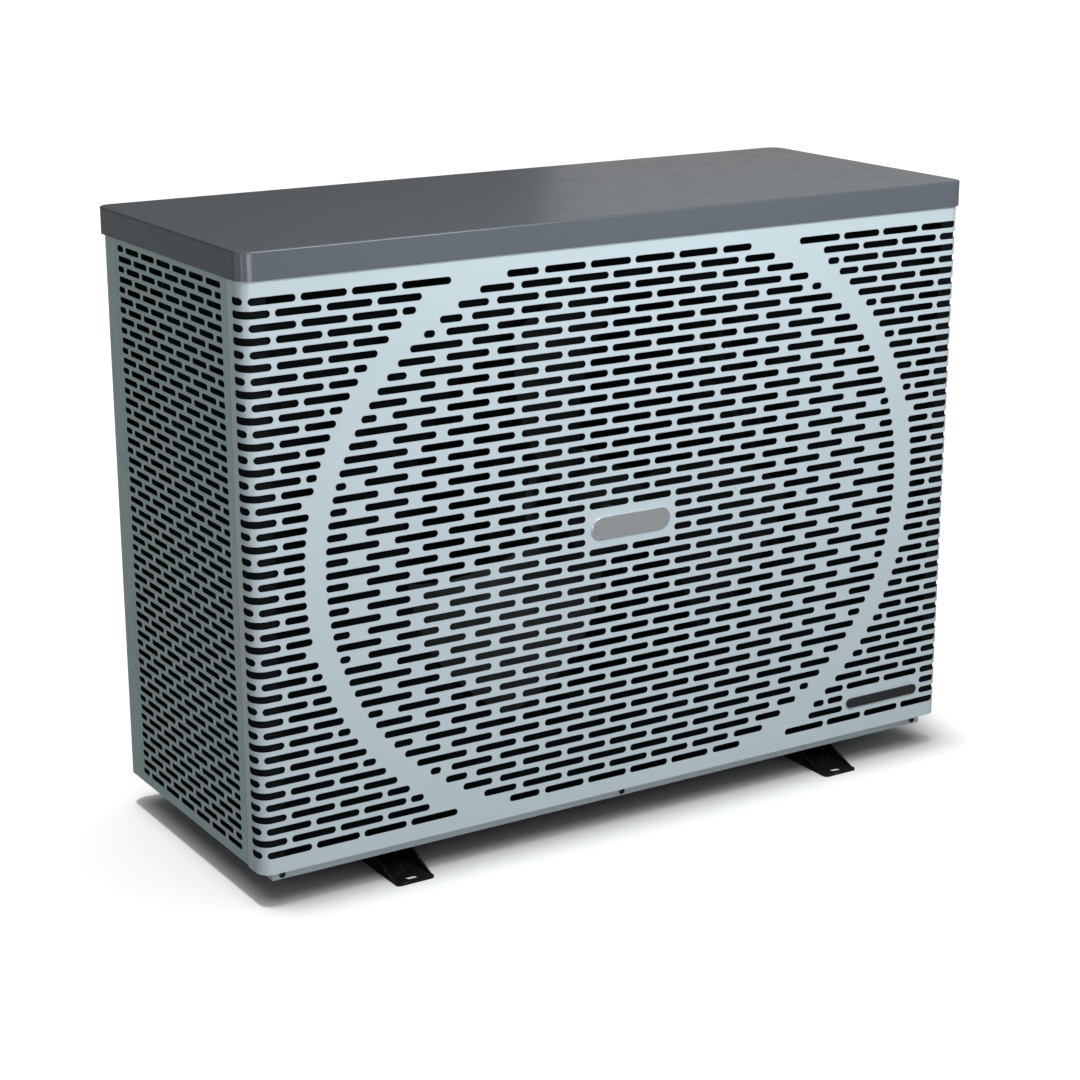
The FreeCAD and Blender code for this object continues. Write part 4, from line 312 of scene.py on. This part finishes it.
def powder_coat(name, colour, roughness, cloud=0.05, grain=0.06, peel=0.00004, wander=0.05):
    """Baked powder paint: orange peel, fine grain, and faint clouds of tone."""
    look = Look(name, colour, roughness)
    lighter = tuple(min(part * (1 + cloud), 1) for part in colour)
    darker = tuple(part * (1 - cloud) for part in colour)
    fine = tuple(part * (1 - grain) for part in colour)
    tone = look.colours(look.noise(5.0, 4.0), darker, lighter)
    speck = look.spread(look.noise(1400.0, 2.0), 0.42, 0.75, 0.0, 0.6)
    look.paint(look.colours(speck, tone, fine))
    look.gloss(look.noise(28.0, 4.0), roughness - wander, roughness + wander)
    look.bump(look.noise(620.0, 3.0), peel, 0.5)
    return look


def casing_coat(name, colour, roughness):
    """The casing's own powder coat, which is more even than most."""
    return powder_coat(name, colour, roughness, cloud=0.025, grain=0.05)


def panel_paint(name, colour, roughness):
    """The casing's coat on its slightly uneven sheet, with painted shade, a dead black, inside it.
    """
    look = casing_coat(name, colour, roughness)
    look.bump(look.noise(7.0, 1.0), 0.0006, 0.25)
    low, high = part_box("front_panel")
    # Painted shade: the sheet's inner faces are black, for the shade inside the casing.
    look.blacken(look.inner_side((high.x, -low.y), PANEL_CORNER, PANEL_GAUGE))
    return look.material


def front_paint():
    return panel_paint("front_paint", FRONT_TONE, FRONT_ROUGHNESS)


# Painted shade: a darker copy of the front's paint, for the panels that face away from the light.
def side_paint():
    return panel_paint("side_paint", (0.41, 0.51, 0.52), 0.42)


def tray_paint():
    """The front's paint outside the tray, and painted shade, a dead black, over its inside."""
    look = casing_coat("tray_paint", FRONT_TONE, FRONT_ROUGHNESS)
    low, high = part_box("base_pan")
    under, upper = (low.z + share * TRAY_GAUGE for share in UNDERSIDE_FADE)
    above_underside = look.spread(look.axis("Z"), under, upper, 0, 1)
    within_walls = look.inner_side((high.x, high.y), TRAY_GAUGE, TRAY_GAUGE)
    # Painted shade: black over the tray's inside, where the machine's interior lies in shade.
    look.blacken(look.product(above_underside, within_walls))
    return look.material


def cover_paint():
    """The lid's dark satin coat, smoother and glossier than the casing's."""
    tone = (0.110, 0.121, 0.134)
    return powder_coat("cover_paint", tone, 0.24, cloud=0.04, peel=0.00002, wander=0.015).material


def black_steel():
    """Black coat, scuffed to grey primer in small patches low down on the feet."""
    look = Look("black_steel", (0.008, 0.009, 0.011), 0.42, Specular_IOR_Level=0.3)
    low = look.spread(look.axis("Z"), 0.0, SCUFF_HEIGHT, 1.0, 0.0)
    scuffs = look.spread(look.noise(170.0, 6.0), 0.62, 0.72, 0.0, 0.55)
    worn = look.product(low, scuffs)
    tone = look.colours(look.noise(30.0, 4.0), (0.003, 0.0035, 0.0045), (0.006, 0.007, 0.008))
    look.paint(look.colours(worn, tone, (0.16, 0.16, 0.165)))
    look.gloss(look.noise(60.0, 3.0), 0.36, 0.52)
    look.bump(look.noise(700.0, 2.0), 0.00004, 0.6)
    return look.material


def zinc_steel():
    """Hot-dipped zinc with its spangle of flat crystals."""
    look = Look("zinc_steel", (0.55, 0.56, 0.57), 0.38, 0.95)
    crystal = look.cells(95.0, "Color")
    grey = look.spread(crystal, 0.0, 1.0, 0.0, 1.0)
    look.paint(look.colours(grey, (0.40, 0.41, 0.42), (0.66, 0.67, 0.68)))
    look.gloss(crystal, 0.28, 0.52, 0.0, 1.0)
    look.bump(look.noise(300.0, 4.0), 0.00005, 0.4)
    return look.material


def enamel(name, colour, roughness):
    """Sprayed enamel over rough steel: soft runs, dust in patches, fine grit."""
    look = Look(name, colour, roughness)
    darker = tuple(part * 0.7 for part in colour)
    dust = tuple(part * 0.5 + 0.10 for part in colour)
    tone = look.colours(look.noise(12.0, 5.0), darker, colour)
    dusty = look.spread(look.noise(45.0, 5.0), 0.55, 0.8, 0, 0.35)
    look.paint(look.colours(dusty, tone, dust))
    look.gloss(look.noise(20.0, 3.0), roughness - 0.06, roughness + 0.12)
    look.bump(look.noise(260.0, 4.0), 0.0001, 0.5)
    return look.material


def motor_paint():
    return enamel("motor_paint", (0.06, 0.062, 0.066), 0.45)


def compressor_paint():
    return enamel("compressor_paint", (0.02, 0.02, 0.023), 0.4)


def fin_aluminium():
    """Fin stock under a dark corrosion-proof lacquer, with a fine upright grain."""
    look = Look("fin_aluminium", (0.020, 0.024, 0.03), 0.42, 0.55)
    look.paint(look.colours(look.noise(18.0, 5.0), (0.012, 0.015, 0.02), (0.035, 0.042, 0.052)))
    look.gloss(look.noise(90.0, 4.0), 0.34, 0.55)
    look.bump(look.noise(500.0, 2.0, look.stretched(1, 1, 0.04)), 0.00005, 0.5)
    return look.material


def drawn_metal(name, bright, dull, roughness, patch=26.0):
    """Drawn or machined metal with oxide patches and fine upright lines."""
    look = Look(name, bright, roughness, 1.0)
    stain = look.spread(look.noise(patch, 6.0), 0.45, 0.7, 0.0, 0.8)
    look.paint(look.colours(stain, bright, dull))
    look.gloss(look.noise(patch * 2, 5.0), roughness - 0.08, roughness + 0.16)
    look.bump(look.noise(900.0, 2.0, look.stretched(1, 1, 0.08)), 0.00003, 0.5)
    return look.material


def copper():
    return drawn_metal("copper", (0.82, 0.42, 0.26), (0.32, 0.15, 0.09), 0.3)


def brass():
    return drawn_metal("brass", (0.76, 0.58, 0.28), (0.42, 0.30, 0.13), 0.28)


def titanium():
    return drawn_metal("titanium", (0.52, 0.50, 0.47), (0.36, 0.34, 0.33), 0.36)


def rubber():
    """Black rubber and foam, with a grey bloom in patches."""
    look = Look("rubber", (0.018, 0.018, 0.019), 0.75)
    bloom = look.spread(look.noise(40.0, 5.0), 0.5, 0.8, 0.0, 0.5)
    look.paint(look.colours(bloom, (0.015, 0.015, 0.016), (0.06, 0.06, 0.062)))
    look.bump(look.noise(800.0, 3.0), 0.00008, 0.6)
    return look.material


def moulding(name, colour, roughness, texture=1100.0, depth=0.00006, **constants):
    """Moulded plastic: an even spark-eroded grain with soft changes of gloss."""
    look = Look(name, colour, roughness, **constants)
    lighter = tuple(part * 1.18 + 0.002 for part in colour)
    darker = tuple(part * 0.85 for part in colour)
    look.paint(look.colours(look.noise(16.0, 4.0), darker, lighter))
    look.gloss(look.noise(36.0, 3.0), roughness - 0.05, roughness + 0.08)
    look.bump(look.noise(texture, 2.0), depth, 0.6)
    return look.material


def black_plastic():
    return moulding("black_plastic", (0.007, 0.007, 0.008), 0.55, Specular_IOR_Level=0.25)


def shell_plastic():
    return moulding("shell_plastic", (0.045, 0.047, 0.05), 0.42)


def union_plastic():
    return moulding("union_plastic", (0.085, 0.092, 0.098), 0.36)


def nut_plastic():
    return moulding("nut_plastic", (0.012, 0.035, 0.10), 0.38)


def circuit_board():
    """Green solder mask over a faint pattern of copper runs."""
    look = Look("circuit_board", (0.01, 0.09, 0.04), 0.3)
    grid = look.cells(260.0, "Distance", look.stretched(1, 0.25, 1))
    runs = look.spread(grid, 0.25, 0.3, 0, 1)
    look.paint(look.colours(runs, (0.03, 0.16, 0.07), (0.008, 0.07, 0.03)))
    look.bump(grid, 0.00006, 0.4)
    return look.material


def capacitor_sleeve():
    return moulding("capacitor_sleeve", (0.02, 0.022, 0.045), 0.25, 300.0, 0.00004)


def choke_core():
    return moulding("choke_core", (0.07, 0.05, 0.035), 0.55, 400.0, 0.0002)


def screen_glass():
    """Black display glass with faint wiping marks."""
    look = Look("screen_glass", (0.004, 0.004, 0.005), 0.06, Coat_Weight=0.5)
    smear = look.noise(30.0, 4.0, look.stretched(1, 0.3, 1))
    look.paint(look.colours(smear, (0.003, 0.003, 0.004), (0.008, 0.009, 0.011)))
    look.gloss(smear, 0.04, 0.16, 0.35, 0.7)
    return look.material


def smoked_plastic():
    """Smoked see-through acrylic."""
    look = Look("smoked_plastic", (0.10, 0.11, 0.12), 0.08, Transmission_Weight=0.85, IOR=1.49)
    look.gloss(look.noise(50.0, 4.0), 0.05, 0.16, 0.4, 0.75)
    look.bump(look.noise(25.0, 2.0), 0.00008, 0.3)
    return look.material


def clear_lens():
    """Clear polished acrylic."""
    look = Look("clear_lens", (0.97, 0.98, 0.98), 0.03, Transmission_Weight=1.0, IOR=1.49)
    look.gloss(look.noise(60.0, 4.0), 0.02, 0.12, 0.45, 0.8)
    return look.material


def needle_paint():
    return enamel("needle_paint", (0.55, 0.02, 0.012), 0.4)


def badge_metal():
    """Satin metal brushed along X."""
    look = Look("badge_metal", (0.78, 0.80, 0.82), 0.28, 0.9)
    brushed = look.noise(2600.0, 3.0, look.stretched(0.02, 1, 1))
    look.paint(look.colours(brushed, (0.66, 0.69, 0.71), (0.86, 0.88, 0.89)))
    look.gloss(brushed, 0.22, 0.38)
    look.bump(brushed, 0.00002, 0.5)
    return look.material


def gloss_black():
    """Black lacquer under a clear coat."""
    look = Look("gloss_black", (0.006, 0.007, 0.008), 0.14, Coat_Weight=0.6)
    look.paint(look.colours(look.noise(40.0, 3.0), (0.004, 0.005, 0.006), (0.010, 0.011, 0.013)))
    look.gloss(look.noise(70.0, 4.0), 0.10, 0.24, 0.4, 0.75)
    look.bump(look.noise(500.0, 2.0), 0.00002, 0.4)
    return look.material


def dark_screw():
    return drawn_metal("dark_screw", (0.06, 0.06, 0.065), (0.03, 0.03, 0.03), 0.38, 200.0)


def floor_look():
    """A matt studio floor, pale to the camera but darker in the light that it throws back."""
    look = Look("floor", (0.93, 0.93, 0.93), 0.8, Specular_IOR_Level=0.1)
    seen = look.nodes.new("ShaderNodeLightPath").outputs["Is Camera Ray"]
    pale = look.colours(look.noise(1.2, 4.0), (0.985, 0.985, 0.985), (1.0, 1.0, 1.0))
    thrown_back = (0.22, 0.22, 0.22)
    look.paint(look.colours(seen, thrown_back, pale))
    look.bump(look.noise(300.0, 3.0), 0.00005, 0.3)
    return look.material


def black_lining():
    """Dead matt black, so that nothing behind the grille catches the light."""
    look = Look("black_lining", (0.0025, 0.003, 0.0035), 0.9, Specular_IOR_Level=0.12)
    look.paint(look.colours(look.noise(20.0, 4.0), (0.0015, 0.002, 0.0025), (0.004, 0.005, 0.006)))
    look.bump(look.noise(500.0, 3.0), 0.0001, 0.5)
    return look.material


MAKERS = (front_paint, side_paint, cover_paint, black_steel, black_lining, zinc_steel, motor_paint,
          compressor_paint, fin_aluminium, copper, brass, titanium, rubber, black_plastic,
          shell_plastic, union_plastic, nut_plastic, circuit_board, capacitor_sleeve, choke_core,
          screen_glass, smoked_plastic, clear_lens, needle_paint, badge_metal, gloss_black,
          dark_screw)


def dress_nodes():
    """Finish every CAD node as its record says, paint shade in the tray, and return the finishes.
    """
    finishes = {maker.__name__: maker() for maker in MAKERS}
    for part in frame["record"]["subparts"]:
        node = frame["nodes"][part["node"]]
        for slot in node.material_slots:
            slot.material = finishes[part["material_slot"]]
    for slot in frame["nodes"]["base_pan"].material_slots:
        slot.material = tray_paint()
    return finishes


# ---------------------------------------------------------------- mesh helpers
NEARLY_UPRIGHT = 0.9


def add_piece(name, vertices, faces, slot, body=CASING, smooth=False):
    """A new mesh piece, which rides on a body and takes its finish from a record slot."""
    mesh = bpy.data.meshes.new(name)
    mesh.from_pydata([tuple(point) for point in vertices], [], faces)
    mesh.validate()
    mesh.update()
    if smooth:
        mesh.shade_smooth()
    mesh.materials.append(finishes[slot])
    item = bpy.data.objects.new(name, mesh)
    bpy.context.scene.collection.objects.link(item)
    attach(item, body)
    return item


def tube_mesh(path, radius, sides=12, closed=False):
    """Vertices and faces of a round tube that follows a path."""
    vertices, faces = [], []
    count = len(path)
    for index, point in enumerate(path):
        before = path[index - 1] if closed or index else point
        after = path[(index + 1) % count] if closed or index + 1 < count else point
        forward = (after - before).normalized()
        side = forward.orthogonal().normalized()
        if abs(forward.z) < NEARLY_UPRIGHT:
            side = forward.cross(Vector((0, 0, 1))).normalized()
        up = side.cross(forward)
        for step in range(sides):
            angle = 2 * math.pi * step / sides
            out = side * (radius * math.cos(angle)) + up * (radius * math.sin(angle))
            vertices.append(point + out)
    for index in range(count if closed else count - 1):
        here, there = index * sides, (index + 1) % count * sides
        for step in range(sides):
            after = (step + 1) % sides
            faces.append((here + step, here + after, there + after, there + step))
    if not closed:
        faces.append(tuple(reversed(range(sides))))
        faces.append(tuple(range((count - 1) * sides, count * sides)))
    return vertices, faces


def joined(meshes):
    """Several (vertices, faces) as one."""
    vertices, faces = [], []
    for more_vertices, more_faces in meshes:
        start = len(vertices)
        vertices += more_vertices
        faces += [tuple(start + index for index in face) for face in more_faces]
    return vertices, faces


def prism(outline, start, end, corner):
    """Vertices and faces of a prism, where corner(point, level) places an outline's point."""
    count = len(outline)
    vertices = [corner(point, level) for level in (start, end) for point in outline]
    faces = [tuple(reversed(range(count))), tuple(range(count, count * 2))]
    for index in range(count):
        after = (index + 1) % count
        faces.append((index, after, count + after, count + index))
    return vertices, faces


# ---------------------------------------------------------------- evaporator
FIN_DEPTH = 44 * MM
FIN_BEND = 90 * MM
FIN_PITCH = 2.2 * MM
FIN_GAUGE = 0.25 * MM
FIN_WAVE = 0.45 * MM
FIN_WAVE_COUNT = 3
FIN_COLUMNS = 9
TUBE_RADIUS = 4.8 * MM
TUBE_PITCH = 25.4 * MM
LOWEST_TUBE = 120 * MM
TUBE_COUNT = 24
FINS_PER_TUBE_POINT = 6


def one_fin(place, along, across, low, high):
    """A thin upright sheet, waved across its depth so that air swirls over it."""
    vertices = []
    for side in (-1, 1):
        for column in range(FIN_COLUMNS):
            share = column / (FIN_COLUMNS - 1) - 0.5
            wave = FIN_WAVE * math.sin(share * FIN_WAVE_COUNT * 2 * math.pi)
            spot = place + across * (share * FIN_DEPTH) + along * (wave + side * FIN_GAUGE / 2)
            vertices += [Vector((spot.x, spot.y, low)), Vector((spot.x, spot.y, high))]
    faces = []
    half = FIN_COLUMNS * 2
    for near in range(0, half - 2, 2):
        far = near + 2
        faces.append((near, near + 1, far + 1, far))
        faces.append((half + near, half + far, half + far + 1, half + near + 1))
        faces.append((near, far, half + far, half + near))
        faces.append((near + 1, half + near + 1, half + far + 1, far + 1))
    faces.append((0, half, half + 1, 1))
    last = half - 2
    faces.append((last, last + 1, half + last + 1, half + last))
    return vertices, faces


def coil_path(left, right, front, rear, leg):
    """Stations along the middle of the fin block: place, direction along, direction across."""
    middle = (front + rear) / 2
    turn = Vector((left + FIN_BEND, rear - FIN_BEND, 0))
    radius = FIN_BEND - FIN_DEPTH / 2
    stations = []
    length = right - turn.x
    count = int(length / FIN_PITCH)
    for index in range(count):
        across = right - (index + 0.5) * length / count
        stations.append((Vector((across, middle, 0)), Vector((-1, 0, 0)), Vector((0, 1, 0))))
    steps = int(radius * math.pi / 2 / FIN_PITCH)
    for index in range(steps):
        angle = math.pi / 2 * (1 + (index + 0.5) / steps)
        out = Vector((math.cos(angle), math.sin(angle), 0))
        stations.append((turn + out * radius, Vector((-out.y, out.x, 0)), out))
    length = turn.y - leg
    count = int(length / FIN_PITCH)
    for index in range(count):
        back = turn.y - (index + 0.5) * length / count
        place = Vector((left + FIN_DEPTH / 2, back, 0))
        stations.append((place, Vector((0, -1, 0)), Vector((-1, 0, 0))))
    return stations


def add_fins():
    """The evaporator: separate fin sheets along its bent block, and copper tubes through them."""
    low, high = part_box("evaporator_fins")
    stations = coil_path(low.x, high.x, high.y - FIN_DEPTH, high.y, low.y)
    sheets = [one_fin(place, along, across, low.z, high.z) for place, along, across in stations]
    fins = add_piece("evaporator_fin_sheets", *joined(sheets), "fin_aluminium")
    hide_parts("evaporator_fins")
    line = [place for place, along, across in stations]
    ends = Vector((high.x, line[0].y, 0)), Vector((line[-1].x, low.y, 0))
    line = [ends[0], *line[::FINS_PER_TUBE_POINT], ends[1]]
    tubes = []
    for index in range(TUBE_COUNT):
        level = Vector((0, 0, LOWEST_TUBE + index * TUBE_PITCH))
        tubes.append(tube_mesh([point + level for point in line], TUBE_RADIUS))
    add_piece("evaporator_tubes", *joined(tubes), "copper", smooth=True)


# ---------------------------------------------------------------- rear guard
GUARD_WIRE = 1.15 * MM
GUARD_RIM = 9 * MM
GUARD_MESH = (30 * MM, 60 * MM)
GUARD_CORNER = 14 * MM
GUARD_CORNER_STEPS = 6
WIRE_SIDES = 10
ROD_SIDES = 12


def add_guard():
    """A welded wire guard: upright wires over level ones, inside a bent rod frame."""
    low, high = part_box("rear_guard")
    middle = (low.y + high.y) / 2
    rod = (high.y - low.y) / 2
    left, right = low.x + GUARD_RIM, high.x - GUARD_RIM
    bottom, top = low.z + GUARD_RIM, high.z - GUARD_RIM
    columns = round((right - left) / GUARD_MESH[0])
    rows = round((top - bottom) / GUARD_MESH[1])
    outer, inner = high.y - GUARD_WIRE, low.y + GUARD_WIRE
    wires = []
    for index in range(columns + 1):
        across = left + (right - left) * index / columns
        path = Vector((across, outer, low.z + rod)), Vector((across, outer, high.z - rod))
        wires.append(tube_mesh(path, GUARD_WIRE, WIRE_SIDES))
    for index in range(rows + 1):
        level = bottom + (top - bottom) * index / rows
        path = Vector((low.x + rod, inner, level)), Vector((high.x - rod, inner, level))
        wires.append(tube_mesh(path, GUARD_WIRE, WIRE_SIDES))
    ring = []
    reach_x = (high.x - low.x) / 2 - rod - GUARD_CORNER
    reach_z = (high.z - low.z) / 2 - rod - GUARD_CORNER
    centre = Vector(((low.x + high.x) / 2, middle, (low.z + high.z) / 2))
    for quarter in range(4):
        side_x = 1 if quarter in (0, 3) else -1
        side_z = 1 if quarter in (0, 1) else -1
        for step in range(GUARD_CORNER_STEPS + 1):
            angle = math.pi / 2 * (quarter + step / GUARD_CORNER_STEPS)
            ring.append(centre + Vector((side_x * reach_x + GUARD_CORNER * math.cos(angle), 0,
                                         side_z * reach_z + GUARD_CORNER * math.sin(angle))))
    wires.append(tube_mesh(ring, rod, ROD_SIDES, closed=True))
    guard = add_piece("guard_wires", *joined(wires), "black_plastic", smooth=True)
    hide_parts("rear_guard")


# ---------------------------------------------------------------- corner seals
SEAL_HEIGHT = 14 * MM
SEAL_GAP = 0.2 * MM
SEAL_STEPS = 8


def upright_block(outline, bottom, top):
    """A block that stands on its outline in X and Y, listed anticlockwise from above."""
    return prism(outline, bottom, top, lambda point, level: Vector((*point, level)))


def add_seals():
    """Foam that closes the gap between the tray and the rear panel's two round corners."""
    low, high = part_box("rear_panel")
    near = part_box("base_pan")[1].x + SEAL_GAP
    far, back = high.x - PANEL_GAUGE - SEAL_GAP, high.y - PANEL_GAUGE - SEAL_GAP
    bend = PANEL_CORNER - PANEL_GAUGE - SEAL_GAP
    outline = [(near, low.y), (far, low.y)]
    for step in range(SEAL_STEPS + 1):
        angle = math.pi / 2 * step / SEAL_STEPS
        outline.append((far - bend + bend * math.cos(angle), back - bend + bend * math.sin(angle)))
    outline.append((near, back))
    mirrored = [(-x, y) for x, y in reversed(outline)]
    blocks = [upright_block(side, low.z, low.z + SEAL_HEIGHT) for side in (outline, mirrored)]
    add_piece("corner_seals", *joined(blocks), "rubber")


# ---------------------------------------------------------------- dial and display marks
MARK_HEIGHT = 0.15 * MM
DIAL_DEPTH = 9 * MM
DIAL_STEPS = 54
DIAL_TICKS = 27
LONG_TICK_EVERY = 3
DIAL_RING = (20.5 * MM, 21.3 * MM)
LONG_TICK = (17.0 * MM, 20.5 * MM)
LONG_TICK_HALF_ANGLE = math.radians(1.3)
SHORT_TICK = (18.7 * MM, 20.5 * MM)
SHORT_TICK_HALF_ANGLE = math.radians(0.7)
SCREEN_RING = (24.0 * MM, 25.4 * MM)
SCREEN_RING_STEPS = 72
SCREEN_BAR = (17.0 * MM, 1.1 * MM)
SCREEN_BAR_PITCH = 2.64 * MM


def flat_mark(outline, back, front):
    """A thin raised patch on a face that looks along X, from its outline in Y and Z."""
    return prism(outline, back, front, lambda point, level: Vector((level, *point)))


def around(centre, radius, angle):
    """A point in Y and Z at an angle from straight up, clockwise as seen from outside."""
    return centre.y + radius * math.sin(angle), centre.z + radius * math.cos(angle)


def arc_marks(centre, radii, first, last, steps, back, front):
    """A band along an arc, as short patches."""
    marks = []
    for index in range(steps):
        near = first + (last - first) * index / steps
        far = first + (last - first) * (index + 1) / steps
        marks.append(flat_mark([around(centre, radii[0], near), around(centre, radii[1], near),
                                around(centre, radii[1], far), around(centre, radii[0], far)],
                               back, front))
    return marks


def needle_limits():
    """Both ends of the needle's sweep, clockwise from straight up, where it stands at rest.

    The joint counts anticlockwise, so its limits change sign.
    """
    joints = frame["record"]["behaviour"]["joints"]
    sweep = next(joint["range_deg"] for joint in joints if joint["name"] == "needle_turn")
    return -math.radians(sweep[1]), -math.radians(sweep[0])


def add_dial():
    """The scale printed on the gauge's dial: a ring and its ticks, without figures."""
    low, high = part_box("gauge_case")
    centre = (low + high) / 2
    back = low.x + DIAL_DEPTH
    front = back + MARK_HEIGHT
    first, last = needle_limits()
    marks = arc_marks(centre, DIAL_RING, first, last, DIAL_STEPS, back, front)
    for index in range(DIAL_TICKS + 1):
        angle = first + (last - first) * index / DIAL_TICKS
        radii, half = SHORT_TICK, SHORT_TICK_HALF_ANGLE
        if index % LONG_TICK_EVERY == 0:
            radii, half = LONG_TICK, LONG_TICK_HALF_ANGLE
        marks += arc_marks(centre, radii, angle - half, angle + half, 1, back, front)
    add_piece("gauge_scale", *joined(marks), "gloss_black")


def add_display():
    """The ring and the three level bars on the controller's display."""
    low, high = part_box("controller_screen")
    centre = (low + high) / 2
    back, front = high.x, high.x + MARK_HEIGHT
    marks = arc_marks(centre, SCREEN_RING, 0, 2 * math.pi, SCREEN_RING_STEPS, back, front)
    length, height = SCREEN_BAR
    left, right = centre.y - length / 2, centre.y + length / 2
    for row in (-1, 0, 1):
        under = centre.z + row * SCREEN_BAR_PITCH - height / 2
        over = under + height
        outline = [(left, under), (right, under), (right, over), (left, over)]
        marks.append(flat_mark(outline, back, front))
    add_piece("display_marks", *joined(marks), "badge_metal")


# ---------------------------------------------------------------- the whole scene
def lit_group(name, item, state):
    """A light-linking group that includes only one object, or everything except it."""
    group = bpy.data.collections.new(name)
    group.objects.link(item)
    group.collection_objects[0].light_linking.link_state = state
    return group


def add_floor():
    """A wide flat floor for the machine to stand on."""
    half = FLOOR_REACH
    corners = [(-half, -half, 0), (half, -half, 0), (half, half, 0), (-half, half, 0)]
    mesh = bpy.data.meshes.new("floor")
    mesh.from_pydata(corners, [], [(0, 1, 2, 3)])
    mesh.materials.append(floor_look())
    floor = bpy.data.objects.new("floor", mesh)
    bpy.context.scene.collection.objects.link(floor)
    return floor


bpy.context.scene.view_settings.view_transform = "Standard"
finishes = dress_nodes()
add_fins()
add_guard()
add_seals()
add_dial()
add_display()
floor = add_floor()
only_floor = lit_group("only_floor", floor, "INCLUDE")
all_but_floor = lit_group("all_but_floor", floor, "EXCLUDE")
add_world()
for floor_light in FLOOR_LIGHTS:
    add_floor_light(only_floor, *floor_light)
for softbox in SOFTBOXES:
    add_softbox(all_but_floor, *softbox)
add_camera()
